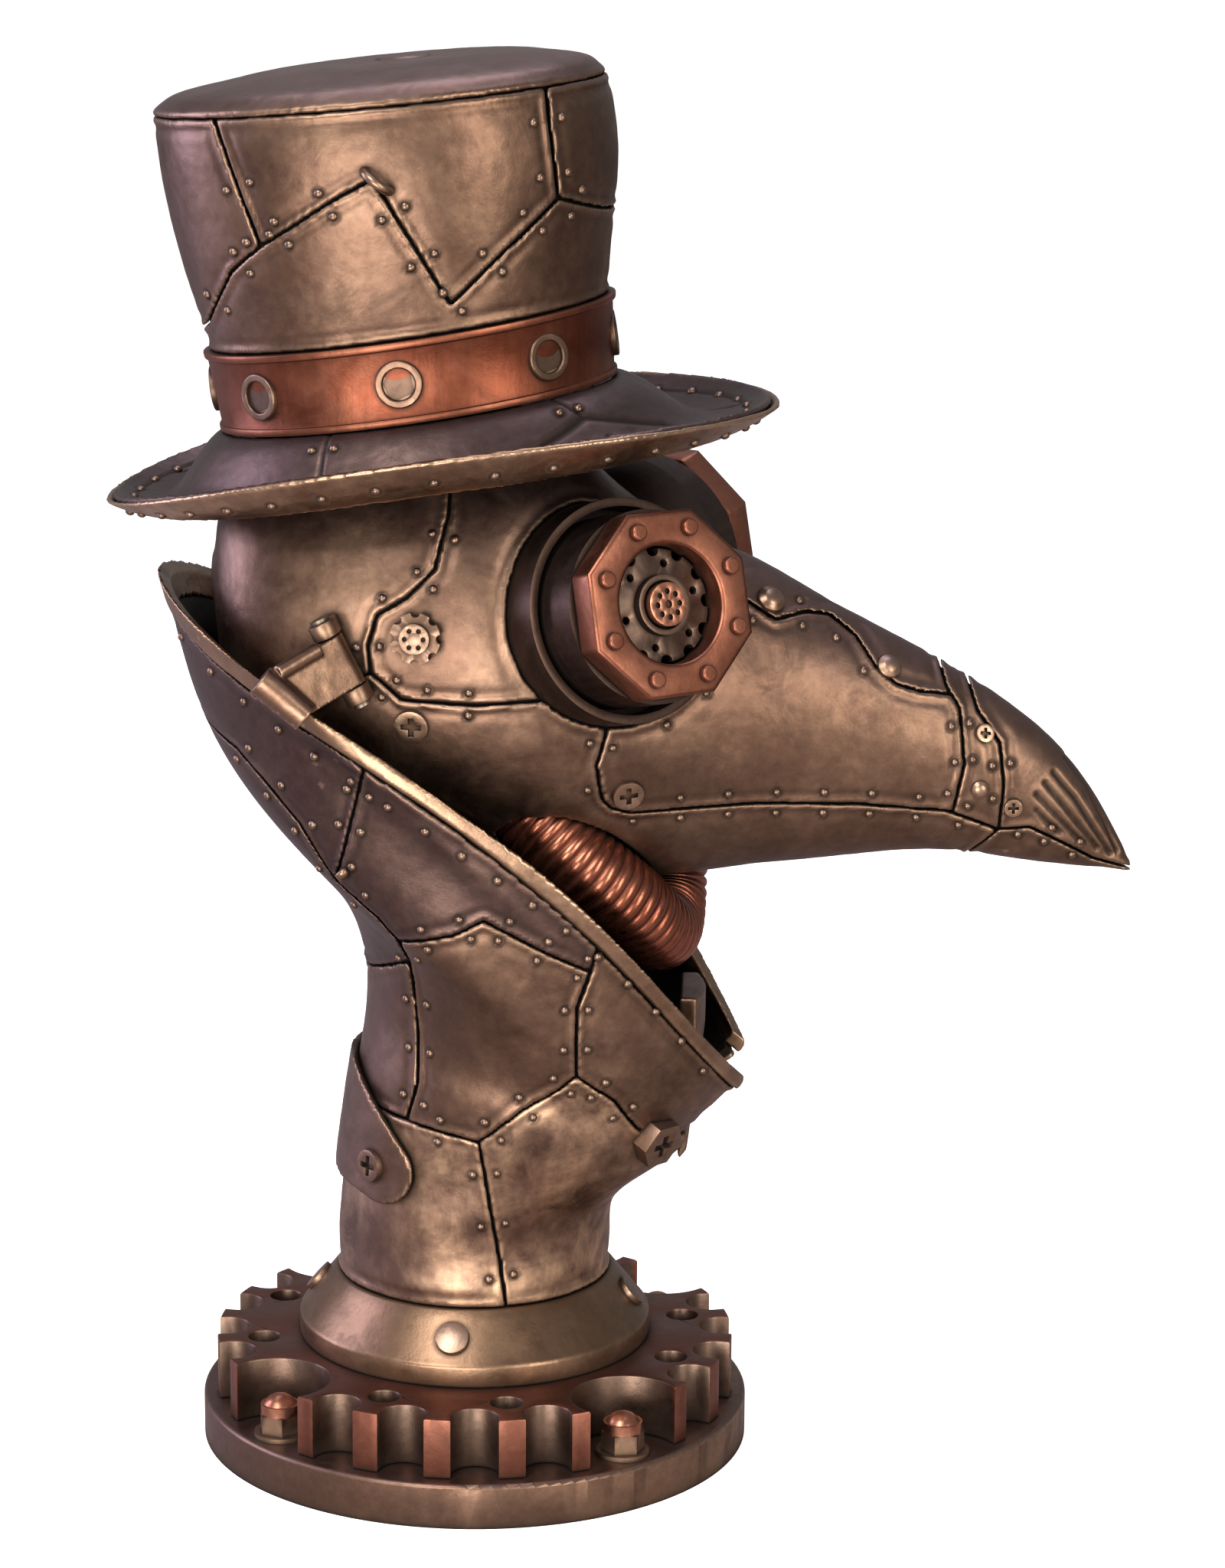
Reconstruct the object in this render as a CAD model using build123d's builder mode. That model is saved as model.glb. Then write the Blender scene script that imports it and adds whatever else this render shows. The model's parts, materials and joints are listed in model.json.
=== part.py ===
from build123d import *
from math import cos, sin, pi, radians, sqrt, hypot
import os

# A riveted metal bust of a masked doctor in a top hat, standing on a gear plinth.
# Millimetres. +Z up, +X forward along the beak, +Y the bust's own left.
# The origin is the centre of the plinth's underside.

# ---- driving dimensions -------------------------------------------------
plate_r = 59.0
plate_t = 9.6
gear_r = 56.0
gear_t = 13.0
gear_top = plate_t + gear_t
gear_bore_r = 30.0
gear_index = -4.0
slot_w = 10.0
slot_depth = 7.0
scallop_r = 11.5
scallop_at = 52.5
ring_hole_r = 3.4
ring_hole_at = 46.0
nut_at = 51.5
nut_flats = 8.0
flange_r = 38.0
flange_lip_t = 4.6
neck_r = 29.3
flange_top = 37.2

skin_t = 1.6
liner_t = 1.3
fit_gap = 0.05
kerf = 0.5

rivet_r = 1.05
rivet_h = 0.8

goggle_turn = 35.2
goggle_lift = 14.4
goggle_seat = (32.2, -30.8, 187.55)
recess_r = 22.4
barrel_r = 19.6
bezel_r = 20.0
bezel_hole_r = 12.0
bezel_t = 7.0
bezel_face = 18.3

hat_tilt = 8.5
hat_at = (-11.5, 0.0, 225.5)
band_h = 17.0

hose_r = 8.6

os.makedirs("parts", exist_ok=True)


def save(part, label):
    part.label = label
    export_step(part, "parts/" + label + ".step")


def between(table, key):
    # straight-line interpolation in rows sorted by their first value
    if key <= table[0][0]:
        return table[0][1:]
    for low, high in zip(table, table[1:]):
        if key <= high[0]:
            share = (key - low[0]) / (high[0] - low[0])
            return [a + (b - a) * share for a, b in zip(low[1:], high[1:])]
    return table[-1][1:]


# ---- plinth -------------------------------------------------------------
with BuildPart() as base_plate:
    with BuildSketch(Plane.XY):
        Circle(plate_r)
    extrude(amount=plate_t)
    fillet(base_plate.edges().group_by(Axis.Z)[-1], 1.0)
save(base_plate.part, "base_plate")

with BuildPart() as gear_ring:
    with BuildSketch(Plane.XY.offset(plate_t)):
        Circle(gear_r)
        Circle(gear_bore_r, mode=Mode.SUBTRACT)
        for quadrant in range(4):
            middle = gear_index + 90 * quadrant
            for step in (-24, -8, 8, 24):
                with PolarLocations(gear_r, 1, start_angle=middle + step):
                    SlotCenterToCenter(2 * slot_depth - slot_w, slot_w, mode=Mode.SUBTRACT)
            with PolarLocations(scallop_at, 1, start_angle=middle + 45):
                Circle(scallop_r, mode=Mode.SUBTRACT)
            for step in (-16.3, 16.3):
                with PolarLocations(ring_hole_at, 1, start_angle=middle + step):
                    Circle(ring_hole_r, mode=Mode.SUBTRACT)
    extrude(amount=gear_t)
save(gear_ring.part, "gear_ring")

nut_places = PolarLocations(nut_at, 4, start_angle=gear_index + 45)
with BuildPart() as ring_washers:
    with BuildSketch(Plane.XY.offset(plate_t)):
        with nut_places:
            Circle(5.6)
    extrude(amount=1.0)

with BuildPart() as ring_dome_nuts:
    with BuildSketch(Plane.XY.offset(plate_t + 1.0)):
        with nut_places:
            RegularPolygon(nut_flats / 2, 6, major_radius=False)
    extrude(amount=4.0)
    with BuildSketch(Plane.XY.offset(plate_t + 5.0)):
        with nut_places:
            Circle(4.1)
    extrude(amount=2.2)
    with PolarLocations(nut_at, 4, start_angle=gear_index + 45):
        with Locations((0, 0, plate_t + 7.2)):
            Sphere(4.1, arc_size1=0, arc_size2=90)
save(Compound(children=[ring_washers.part, ring_dome_nuts.part]), "ring_dome_nuts")

with BuildPart() as neck_flange:
    with BuildSketch(Plane.XZ):
        with BuildLine():
            Polyline(
                (gear_bore_r - 0.1, plate_t),
                (gear_bore_r - 0.1, gear_top),
                (flange_r, gear_top),
                (flange_r, gear_top + flange_lip_t),
                (flange_r - 0.6, gear_top + flange_lip_t + 0.6),
                (neck_r + 0.6, flange_top),
                (neck_r - 4.0, flange_top),
                (neck_r - 4.0, plate_t),
                close=True,
            )
        make_face()
    revolve(axis=Axis.Z)
save(neck_flange.part, "neck_flange")

stud_slope = Vector(flange_top - gear_top - flange_lip_t, 0, flange_r - neck_r).normalized()
stud_places = []
for quarter in range(4):
    turn = radians(gear_index + 90 * quarter)
    out = Vector(cos(turn) * stud_slope.X, sin(turn) * stud_slope.X, stud_slope.Z)
    foot = Vector(33.9 * cos(turn), 33.9 * sin(turn), 32.0)
    stud_places.append(Plane(origin=foot, z_dir=out))
with BuildPart() as flange_studs:
    for place in stud_places:
        with BuildSketch(place.offset(-1.5)):
            Circle(3.5)
        extrude(amount=2.6)
save(flange_studs.part, "flange_studs")


# ---- neck and collar: one flaring tube cut by the sloping rim plane -----
# level, rear x, front x, half width; then the fan of sloping sections
neck_levels = [
    (flange_top, -29.3, 29.3, 29.3),
    (46.0, -29.2, 29.3, 29.3),
    (54.0, -28.6, 30.6, 30.0),
    (60.0, -28.0, 36.5, 31.0),
    (66.0, -27.4, 45.0, 32.0),
]
# rear point (x, z), front point (x, z), half width
fan_sections = [
    (-26.0, 76.0, 47.6, 69.6, 34.0),
    (-23.0, 98.0, 49.0, 72.6, 36.0),
    (-24.2, 112.0, 50.2, 74.2, 38.0),
    (-33.0, 129.0, 52.0, 75.8, 41.0),
    (-50.5, 149.0, 54.0, 77.4, 44.0),
    (-60.5, 170.0, 56.5, 79.2, 46.0),
    (-66.0, 190.0, 59.5, 81.5, 47.0),
]
# the walls run on above the rim plane, because the rim arches up at the sides
fan_above = (-70.0, 209.0, 76.5, 101.2, 48.2)


def neck_solid(inset):
    with BuildPart(mode=Mode.PRIVATE) as tube:
        for level, rear, front, half in neck_levels:
            middle = (rear + front) / 2
            with BuildSketch(Plane((middle, 0, level), z_dir=(0, 0, 1))):
                Ellipse((front - rear) / 2 - inset, half - inset)
        for rear, rear_z, front, front_z, half in (*fan_sections, fan_above):
            run = Vector(front - rear, 0, front_z - rear_z)
            middle = ((rear + front) / 2, 0, (rear_z + front_z) / 2)
            normal = Vector(-run.Z, 0, run.X)
            with BuildSketch(Plane(middle, x_dir=run, z_dir=normal)):
                Ellipse(run.length / 2 - inset, half - inset)
        loft()
    return tube.part


rim_run = Vector(fan_sections[-1][2] - fan_sections[-1][0], 0, fan_sections[-1][3] - fan_sections[-1][1])
rim_middle = (
    (fan_sections[-1][0] + fan_sections[-1][2]) / 2,
    0,
    (fan_sections[-1][1] + fan_sections[-1][3]) / 2,
)
rim_half_width = fan_sections[-1][4]
rim_half_run = rim_run.length / 2
rim_along = rim_run.normalized()
rim_up = Vector(-rim_along.Z, 0, rim_along.X)
rim_t = 3.2
# rise of the rim above its plane at the collar's sides: at the middle, and its growth toward the front
rim_rise, rim_rise_growth = 12.8, 9.5


def rim_slab(low, high):
    # what lies between two copies of the arched rim surface, low and high above it
    with BuildPart(mode=Mode.PRIVATE) as slab:
        for along in (-115.0, 115.0):
            rise = (rim_rise + rim_rise_growth * along / rim_half_run) * (60 / rim_half_width) ** 2
            origin = Vector(*rim_middle) + rim_along * along
            with BuildSketch(Plane(origin, x_dir=(0, 1, 0), z_dir=rim_along)):
                with BuildLine():
                    ThreePointArc((-60, rise + low), (0, low), (60, rise + low))
                    Line((60, rise + low), (60, rise + high))
                    ThreePointArc((60, rise + high), (0, high), (-60, rise + high))
                    Line((-60, rise + high), (-60, rise + low))
                make_face()
        loft(ruled=True)
    return slab.part


def seam_blade(points, width=kerf, reach=120):
    # a thin wall through the whole object, standing on a line drawn in the side view
    with BuildPart(mode=Mode.PRIVATE) as blade:
        with BuildSketch(Plane.XZ):
            with BuildLine():
                Polyline(*points)
            trace(line_width=width)
        extrude(amount=reach, both=True)
    return blade.part


def take(pool, *marks):
    # the solids of the pool nearest to each marked point
    found = []
    for mark in marks:
        spot = Vertex(*mark)
        best = min(pool, key=lambda solid: solid.distance_to(spot))
        pool.remove(best)
        found.append(best)
    return Compound(children=found) if len(found) > 1 else found[0]


def skin_y(body, x, z, guess=None):
    # half width of a symmetric body at (x, z), found by halving
    low, high = (0.0, 60.0) if guess is None else (max(guess - 3, 0), guess + 3)
    for _ in range(14 if guess is None else 11):
        middle = (low + high) / 2
        if body.is_inside(Vector(x, middle, z)):
            low = middle
        else:
            high = middle
    return low


def skin_places(body, spots, sides=(-1, 1), lift=0.0):
    # planes standing on the skin at side-view spots (x, z), on each side
    places = []
    for x, z in spots:
        y = skin_y(body, x, z)
        if y < 3.0:
            continue
        slope_x = skin_y(body, x + 0.5, z, y) - y
        slope_z = skin_y(body, x, z + 0.5, y) - y
        out = Vector(-slope_x / 0.5, 1, -slope_z / 0.5).normalized()
        for side in sides:
            normal = Vector(out.X, side * out.Y, out.Z)
            foot = Vector(x, side * y, z) + normal * lift
            places.append(Plane(origin=foot, z_dir=normal))
    return places


def stitch(points, pitch, offset, start=None):
    # side-view spots in pairs on both sides of a line, evenly spaced along it
    spots = []
    along = pitch / 2 if start is None else start
    for (x0, z0), (x1, z1) in zip(points, points[1:]):
        length = hypot(x1 - x0, z1 - z0)
        dx, dz = (x1 - x0) / length, (z1 - z0) / length
        while along < length:
            x, z = x0 + dx * along, z0 + dz * along
            for hand in (-1, 1):
                spots.append((x - hand * dz * offset, z + hand * dx * offset))
            along += pitch
        along -= length
    return spots


def rivets_at(places, radius=rivet_r, height=rivet_h, depth=1.6):
    # flat-sunk shank with a coned head, one at each place
    with Locations(*places):
        with Locations((0, 0, -depth)):
            Cylinder(radius, depth + height * 0.4, align=(Align.CENTER, Align.CENTER, Align.MIN))
        with Locations((0, 0, height * 0.4)):
            Cone(radius, radius * 0.5, height * 0.6, align=(Align.CENTER, Align.CENTER, Align.MIN))


# seams of the neck and collar in the side view
seam_front = [(8.5, 30), (8.5, 38), (3.2, 75.5)]
seam_waist = [(-40, 80), (-12.3, 77.5), (3.2, 75.5), (12, 83), (19.7, 88), (23.5, 91.5)]
seam_nape = [(-12.3, 77.5), (-9.8, 86.6), (-9.7, 96.7), (-10.2, 106.6), (-11, 114.6), (-13, 120)]
seam_nape_top = [(-11, 114.6), (-21.4, 107), (-32, 105)]
seam_throat = [(23.5, 91.5), (31, 85.2), (35.7, 77.2), (39.2, 73.6), (60, 66)]
seam_side = [(23.5, 91.5), (23.5, 99), (23.8, 107), (26.5, 115), (33, 140)]
seam_collar = [(-13, 120), (-1, 123.2), (5, 126.5), (17.3, 119.6), (26.5, 115)]
seam_back = [(-13, 120), (-17, 125), (-25.8, 132), (-33, 144), (-41, 152.3), (-47, 157.5), (-70, 166)]
seam_short = [(-25.8, 132), (-23.5, 140), (-19.8, 154.7), (-17, 165)]

neck_outer = neck_solid(0)
neck_middle = neck_solid(skin_t)
neck_middle_in = neck_solid(skin_t + fit_gap)
neck_inner = neck_solid(skin_t + fit_gap + liner_t)

with BuildPart(mode=Mode.PRIVATE) as rim_gap:
    with Locations((58, 0, 82)):
        Box(40, 26, 50)
collar_rim = ((neck_solid(-0.8) - neck_solid(2.8)) & rim_slab(-rim_t, 0)) - rim_gap.part
save(collar_rim, "collar_rim")

rim_space = rim_slab(-rim_t - fit_gap, 60)
with BuildPart(mode=Mode.PRIVATE) as throat_notch:
    with BuildSketch(Plane.YZ.offset(36)):
        with BuildLine():
            Polyline(
                (-13, 110), (13, 110), (13, 93), (10.45, 80),
                (10.45, 64), (-10.45, 64), (-10.45, 80), (-13, 93), close=True,
            )
        make_face()
    extrude(amount=50)
neck_skin = neck_outer - neck_middle - rim_space - throat_notch.part
for seam in (seam_front, seam_waist, seam_nape, seam_nape_top, seam_throat, seam_side):
    neck_skin = neck_skin - seam_blade(seam)
for seam in (seam_collar, seam_back, seam_short):
    neck_skin = neck_skin - seam_blade(seam)
pool = list(neck_skin.solids())
save(take(pool, (-29, 0, 60)), "neck_rear_panel")
save(take(pool, (31, 0, 55)), "neck_front_panel")
save(take(pool, (-24, 0, 95)), "nape_panel")
save(take(pool, (8, -36, 100), (8, 36, 100)), "neck_side_panels")
save(take(pool, (40, -25, 90), (40, 25, 90)), "throat_side_panels")
save(take(pool, (-40, 0, 138)), "collar_back_panel")
save(take(pool, (-60, 0, 175)), "collar_nape_panel")
save(take(pool, (0, -45, 140), (0, 45, 140)), "collar_side_panels")

neck_lining = neck_middle_in - neck_inner - rim_space - throat_notch.part
save(neck_lining, "neck_liner")


with BuildPart() as throat_plate:
    with BuildSketch(Plane.XY.offset(62.5)):
        with BuildLine():
            Line((44, -10.4), (47.6, -10.4))
            ThreePointArc((47.6, -10.4), (49.4, 0), (47.6, 10.4))
            Line((47.6, 10.4), (44, 10.4))
            Line((44, 10.4), (44, -10.4))
        make_face()
    extrude(amount=38)
    with BuildSketch(Plane.XZ):
        with BuildLine():
            Polyline((40, 60), (40, 104), (51, 104), (45.8, 67), (42, 62), close=True)
        make_face()
    extrude(amount=30, both=True, mode=Mode.INTERSECT)
save(throat_plate.part, "throat_plate")

nape_shell = neck_solid(-2.1) - neck_solid(-0.03)
with BuildPart(mode=Mode.PRIVATE) as nape_outline:
    with BuildSketch(Plane.XZ):
        with Locations((-18.7, 66)):
            Circle(7.6)
        with BuildLine():
            Polyline((-12.8, 70.8), (-25, 86), (-45, 92), (-45, 62), (-22, 59.2), close=True)
        make_face()
    extrude(amount=80, both=True)
nape_tab = nape_shell & nape_outline.part
save(nape_tab, "nape_tab")

bolt_places = skin_places(neck_outer, [(39.2, 73.6)])
with BuildPart() as throat_bolts:
    for place in bolt_places:
        with BuildSketch(place.offset(-2.0)):
            RegularPolygon(4.8, 6, major_radius=False)
        extrude(amount=5.2)
        with BuildSketch(place.offset(3.2)):
            Rectangle(5.2, 1.5)
            Rectangle(1.5, 5.2)
        extrude(amount=-1.6, mode=Mode.SUBTRACT)

screw_places = skin_places(neck_outer, [(-18.7, 66)], lift=2.1)
with BuildPart() as nape_screws:
    for place in screw_places:
        with BuildSketch(place.offset(-3.0)):
            Circle(3.4)
        extrude(amount=4.3)
        with BuildSketch(place.offset(1.3)):
            Rectangle(4.4, 1.2)
            Rectangle(1.2, 4.4)
        extrude(amount=-1.2, mode=Mode.SUBTRACT)
save(Compound(children=[throat_bolts.part, nape_screws.part]), "neck_bolts")

neck_spots = stitch(seam_front[1:], 12, 2.6)
neck_spots += stitch(seam_waist[1:3], 9, 2.6, 7)
neck_spots += stitch(seam_waist[2:], 9, 2.6, 4)
neck_spots += stitch(seam_nape, 11, 2.4, 5)
neck_spots += stitch(seam_throat[:3], 8, 2.4, 6)
neck_spots += stitch(seam_side[:4], 9, 2.4, 6)
neck_spots += stitch(seam_collar, 9, 2.4, 6)
neck_spots += stitch(seam_back[1:6], 9.5, 2.4, 5)
neck_spots += stitch(seam_short[:3], 8, 2.4, 5)
rim_row = []
for step in range(-8, 9):
    # a row of rivets under the rim, about nine millimetres apart
    share = step * 8.8 / rim_half_run
    rise = (rim_rise + rim_rise_growth * share) * (1 - share * share)
    row_point = Vector(*rim_middle) + rim_along * (rim_half_run * share) + rim_up * (rise - 6.6)
    rim_row.append((row_point.X, row_point.Z))
with BuildPart() as neck_rivets:
    rivets_at(skin_places(neck_outer, neck_spots))
with BuildPart() as collar_rivets:
    rivets_at(skin_places(neck_outer, rim_row))
save(Compound(children=[neck_rivets.part, collar_rivets.part]), "neck_rivets")

with BuildPart() as neck_core:
    with BuildSketch(Plane.XY.offset(plate_t)):
        with Locations((-4, 0)):
            Circle(14)
    extrude(amount=136)
save(neck_core.part, "neck_core")


# ---- head: one lofted skin from the back of the skull to the beak tip ---
# station x, centre height, half height, half width
head_stations = [
    (-55.0, 188.0, 5.0, 5.0),
    (-52.0, 187.0, 20.5, 18.0),
    (-45.0, 184.0, 34.0, 27.5),
    (-30.0, 181.0, 44.5, 35.5),
    (-10.0, 179.0, 50.0, 39.0),
    (10.0, 175.0, 49.0, 39.5),
    (30.0, 166.8, 41.2, 33.0),
    (45.0, 162.2, 36.2, 26.0),
    (58.0, 160.6, 32.8, 20.8),
    (70.0, 157.9, 28.9, 17.8),
    (85.0, 154.8, 23.9, 14.8),
    (100.0, 151.2, 19.6, 12.0),
    (112.0, 146.6, 16.5, 9.8),
    (122.0, 141.8, 12.9, 7.6),
    (130.0, 136.3, 8.2, 5.0),
    (135.5, 131.2, 3.6, 2.5),
    (138.2, 128.7, 1.2, 1.0),
]


def head_solid(inset):
    with BuildPart(mode=Mode.PRIVATE) as form:
        for station, centre, half_height, half_width in head_stations:
            if min(half_height, half_width) - inset < 0.7:
                continue
            shift = inset if station < -50 else 0
            with BuildSketch(Plane((station + shift, 0, centre), x_dir=(0, 1, 0), z_dir=(1, 0, 0))):
                Ellipse(half_width - inset, half_height - inset)
        loft()
    return form.part


head_outer = head_solid(0)
head_middle = head_solid(skin_t)
head_middle_in = head_solid(skin_t + fit_gap)
head_inner = head_solid(skin_t + fit_gap + liner_t)


def head_guess(x, z):
    centre, half_height, half_width = between(head_stations, x)
    share = 1 - ((z - centre) / half_height) ** 2
    return half_width * sqrt(max(share, 0))


goggle_axis = Vector(
    sin(radians(goggle_turn)) * cos(radians(goggle_lift)),
    -cos(radians(goggle_turn)) * cos(radians(goggle_lift)),
    sin(radians(goggle_lift)),
)


def goggle_planes(out=0.0):
    # right goggle first (-Y side), then the left one
    places = []
    for side in (1, -1):
        normal = Vector(goggle_axis.X, side * goggle_axis.Y, goggle_axis.Z)
        seat = Vector(goggle_seat[0], side * goggle_seat[1], goggle_seat[2])
        level = normal.cross(Vector(0, 0, 1)).normalized() * -1
        places.append(Plane(origin=seat + normal * out, x_dir=level, z_dir=normal))
    return places


with BuildPart(mode=Mode.PRIVATE) as goggle_cut:
    with Locations(*goggle_planes(-18)):
        Cylinder(recess_r + 0.65, 50, align=(Align.CENTER, Align.CENTER, Align.MIN))

# the flexible pipe: cheek, forward, then up into the underside of the beak
hose_path = [(8, -19, 148), (17, -22, 139), (25, -22.5, 131.5), (33, -18, 123.5), (38, -9.5, 116)]
hose_path += [(40, 1, 113.5), (40.5, 9.5, 118), (40.5, 12.5, 127), (40, 12, 137)]


def hose_solid(radius):
    with BuildPart(mode=Mode.PRIVATE) as pipe:
        with BuildLine():
            line = Spline(*hose_path)
        with BuildSketch(Plane(line @ 0, z_dir=line % 0)):
            Circle(radius)
        sweep()
    return pipe.part


hose_body = hose_solid(hose_r)
hose_room = hose_solid(hose_r + 0.6)
with BuildPart(mode=Mode.PRIVATE) as core_room:
    with BuildSketch(Plane.XY.offset(100)):
        with Locations((-4, 0)):
            Circle(14.1)
    extrude(amount=80)

seam_temple = [(-2.5, 232), (-3, 207), (-5.5, 196.5), (-11, 191), (-17, 187.5), (-19, 181), (-18.5, 175.5)]
seam_cheek = [(-70, 158), (-30, 169), (-18.5, 175.5), (-12, 170), (2.5, 169.5), (24, 171)]
seam_beak = [
    (30, 172), (29, 163), (27, 156), (28, 148.5), (30, 146), (34, 144.7), (60, 145), (80, 144.3),
    (99, 142.4), (110, 138), (116.5, 138.5), (124, 134.5), (130, 131), (142, 127),
]
seam_bridge = [
    (38, 188.5), (50, 187.5), (57, 186.5), (63, 182.7), (69, 183.6), (74, 182.6),
    (79.6, 178.4), (83.5, 172.8), (88, 169), (93, 167.3), (99.5, 166.3),
]
seam_brow = [(44, 187.6), (44, 215)]
seam_band_rear = [(96.5, 174), (98.5, 168), (101.3, 163.5), (102.5, 152.5), (100.3, 141.9)]
seam_band_front = [(101.5, 173), (105, 163), (109.8, 156.4), (110.8, 147.5), (110, 138)]
seam_keel = [(104.5, 122), (104, 132), (110, 138)]

head_skin = head_outer - head_middle - goggle_cut.part
face_seams = (seam_temple, seam_cheek, seam_beak, seam_bridge, seam_brow)
tip_seams = (seam_band_rear, seam_band_front, seam_keel)
for seam in face_seams + tip_seams:
    head_skin = head_skin - seam_blade(seam)
head_skin = head_skin - hose_room - core_room.part
pool = list(head_skin.solids())
save(take(pool, (-50, 0, 195)), "skull_plate")
save(take(pool, (-2, -36, 195)), "brow_plate")
save(take(pool, (0, -34, 155)), "jaw_plate")
save(take(pool, (70, -16, 160), (70, 16, 160)), "beak_side_plates")
save(take(pool, (70, 0, 185)), "beak_bridge")
save(take(pool, (100.5, 0, 170.5)), "beak_band")
save(take(pool, (122, 0, 154)), "beak_tip")
save(take(pool, (120, 0, 129.5)), "beak_keel")

head_lining = head_middle_in - head_inner - goggle_cut.part - hose_room - core_room.part
save(head_lining, "head_liner")


# ---- goggles ------------------------------------------------------------
with BuildPart() as goggle_cups:
    with Locations(*goggle_planes(-16)):
        Cylinder(recess_r + 0.6, 17.8, align=(Align.CENTER, Align.CENTER, Align.MIN))
        Cylinder(recess_r - 1.2, 17.8, align=(Align.CENTER, Align.CENTER, Align.MIN), mode=Mode.SUBTRACT)
    with Locations(*goggle_planes(-8)):
        Cylinder(recess_r, 2, align=(Align.CENTER, Align.CENTER, Align.MIN))
        Cylinder(barrel_r, bezel_face - bezel_t + 8, align=(Align.CENTER, Align.CENTER, Align.MIN))
    with Locations(*goggle_planes(-6)):
        Cylinder(barrel_r - 3, 30, align=(Align.CENTER, Align.CENTER, Align.MIN), mode=Mode.SUBTRACT)
save(goggle_cups.part, "goggle_cups")

with BuildPart() as goggle_bezels:
    for place in goggle_planes(bezel_face - bezel_t):
        with BuildSketch(place):
            RegularPolygon(bezel_r, 8, rotation=-22.5)
            Circle(bezel_hole_r, mode=Mode.SUBTRACT)
        extrude(amount=bezel_t)
    bezel_fronts = goggle_bezels.faces().filter_by(GeomType.PLANE).sort_by(SortBy.AREA)[-4:]
    chamfer(bezel_fronts.edges(), 0.5)
save(goggle_bezels.part, "goggle_bezels")

with BuildPart() as bezel_rivets:
    for place in goggle_planes(bezel_face):
        with Locations(place):
            with PolarLocations(15.9, 8, start_angle=-22.5):
                Cylinder(1.7, 3)
    fillet(bezel_rivets.faces().filter_by(GeomType.PLANE).edges(), 0.5)
save(bezel_rivets.part, "bezel_rivets")

axle_r = 2.0
gear_seat = 10.4
knob_spot = (-8.9, 183.3)
knob_places = skin_places(head_outer, [knob_spot])
spindle_r = 1.3
with BuildPart() as gear_axles:
    with Locations(*goggle_planes(-6)):
        Cylinder(axle_r, 20.0, align=(Align.CENTER, Align.CENTER, Align.MIN))
        Cylinder(5, gear_seat + 6 - 0.05, align=(Align.CENTER, Align.CENTER, Align.MIN))
with BuildPart() as knob_spindles:
    for place in knob_places:
        with Locations(place.offset(-skin_t)):
            Cylinder(spindle_r, skin_t + 2.6, align=(Align.CENTER, Align.CENTER, Align.MIN))
save(Compound(children=[gear_axles.part, knob_spindles.part]), "axles_and_spindles")

for place, side in zip(goggle_planes(gear_seat), ("right", "left")):
    with BuildPart() as goggle_gear:
        with BuildSketch(place):
            Circle(11.5)
            Circle(axle_r + fit_gap, mode=Mode.SUBTRACT)
            with PolarLocations(11.3, 12):
                Circle(1.35, mode=Mode.SUBTRACT)
            with PolarLocations(8.6, 6, start_angle=15):
                Circle(0.8, mode=Mode.SUBTRACT)
        extrude(amount=3.4)
        with BuildSketch(place.offset(3.4)):
            Circle(6.1)
            Circle(4.9, mode=Mode.SUBTRACT)
        extrude(amount=2.0)
    save(goggle_gear.part, side + "_goggle_gear")
    with BuildPart() as hub_cap:
        with BuildSketch(place.offset(3.4)):
            Circle(4.4)
        extrude(amount=3.4)
        with BuildSketch(place.offset(3.4)):
            Circle(axle_r + fit_gap)
        extrude(amount=0.8, mode=Mode.SUBTRACT)
        with BuildSketch(place.offset(6.8)):
            with PolarLocations(2.6, 8):
                Circle(0.6)
            Circle(0.8)
        extrude(amount=-0.8, mode=Mode.SUBTRACT)
    save(hub_cap.part, side + "_hub_cap")

# small cog knobs on the temples
for place, side in zip(knob_places, ("right", "left")):
    with BuildPart() as temple_knob:
        with BuildSketch(place.offset(0.6)):
            Circle(5.2)
            Circle(spindle_r + fit_gap, mode=Mode.SUBTRACT)
            with PolarLocations(5.2, 8):
                Circle(0.95, mode=Mode.SUBTRACT)
        extrude(amount=2.1)
        with BuildSketch(place.offset(2.7)):
            Circle(3.1)
        extrude(amount=1.3)
        with BuildSketch(place.offset(4.0)):
            with PolarLocations(1.9, 6):
                Circle(0.5)
        extrude(amount=-0.6, mode=Mode.SUBTRACT)
    save(temple_knob.part, side + "_temple_knob")

# ---- strap clasps: hinged on the skull, hooked over the collar rim ------
hinge_down = Vector(0.45, 0, -0.893).normalized()
hinge_out = Vector(-0.893, 0, -0.45).normalized()
hinge_at = Vector(-24.2, -40.4, 178.2)
hinge_plane = Plane(origin=hinge_at, x_dir=hinge_out, z_dir=hinge_down)
pin_r = 1.2
knuckle_r = 2.9
# the strap leaves the skull at this slant, to pass over the rim and curl down outside it
strap_slant = radians(35.5)
strap_out = Vector(hinge_out.X * cos(strap_slant), -sin(strap_slant), hinge_out.Z * cos(strap_slant))
strap_plane = Plane(origin=hinge_at, x_dir=strap_out, z_dir=hinge_down)
with BuildPart() as right_hook:
    with BuildSketch(strap_plane.offset(-5.5)):
        Circle(knuckle_r)
        with Locations((8.5, -2.0)):
            Rectangle(17.0, 1.8)
        Circle(pin_r + fit_gap, mode=Mode.SUBTRACT)
    extrude(amount=11)
    roll_at = strap_plane.from_local_coords((16.0, -2.3, 0))
    with BuildSketch(Plane(origin=roll_at, z_dir=(0.766, 0, -0.643)).offset(-6)):
        Circle(3.3)
    extrude(amount=12)
    finger_start = strap_plane.from_local_coords((4.2, -2.6, -5.0))
    with BuildSketch(Plane(origin=finger_start, z_dir=strap_out)):
        Circle(1.6)
    extrude(amount=10.5)
save(right_hook.part, "right_clasp_hook")
save(mirror(right_hook.part, about=Plane.XZ), "left_clasp_hook")

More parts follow.
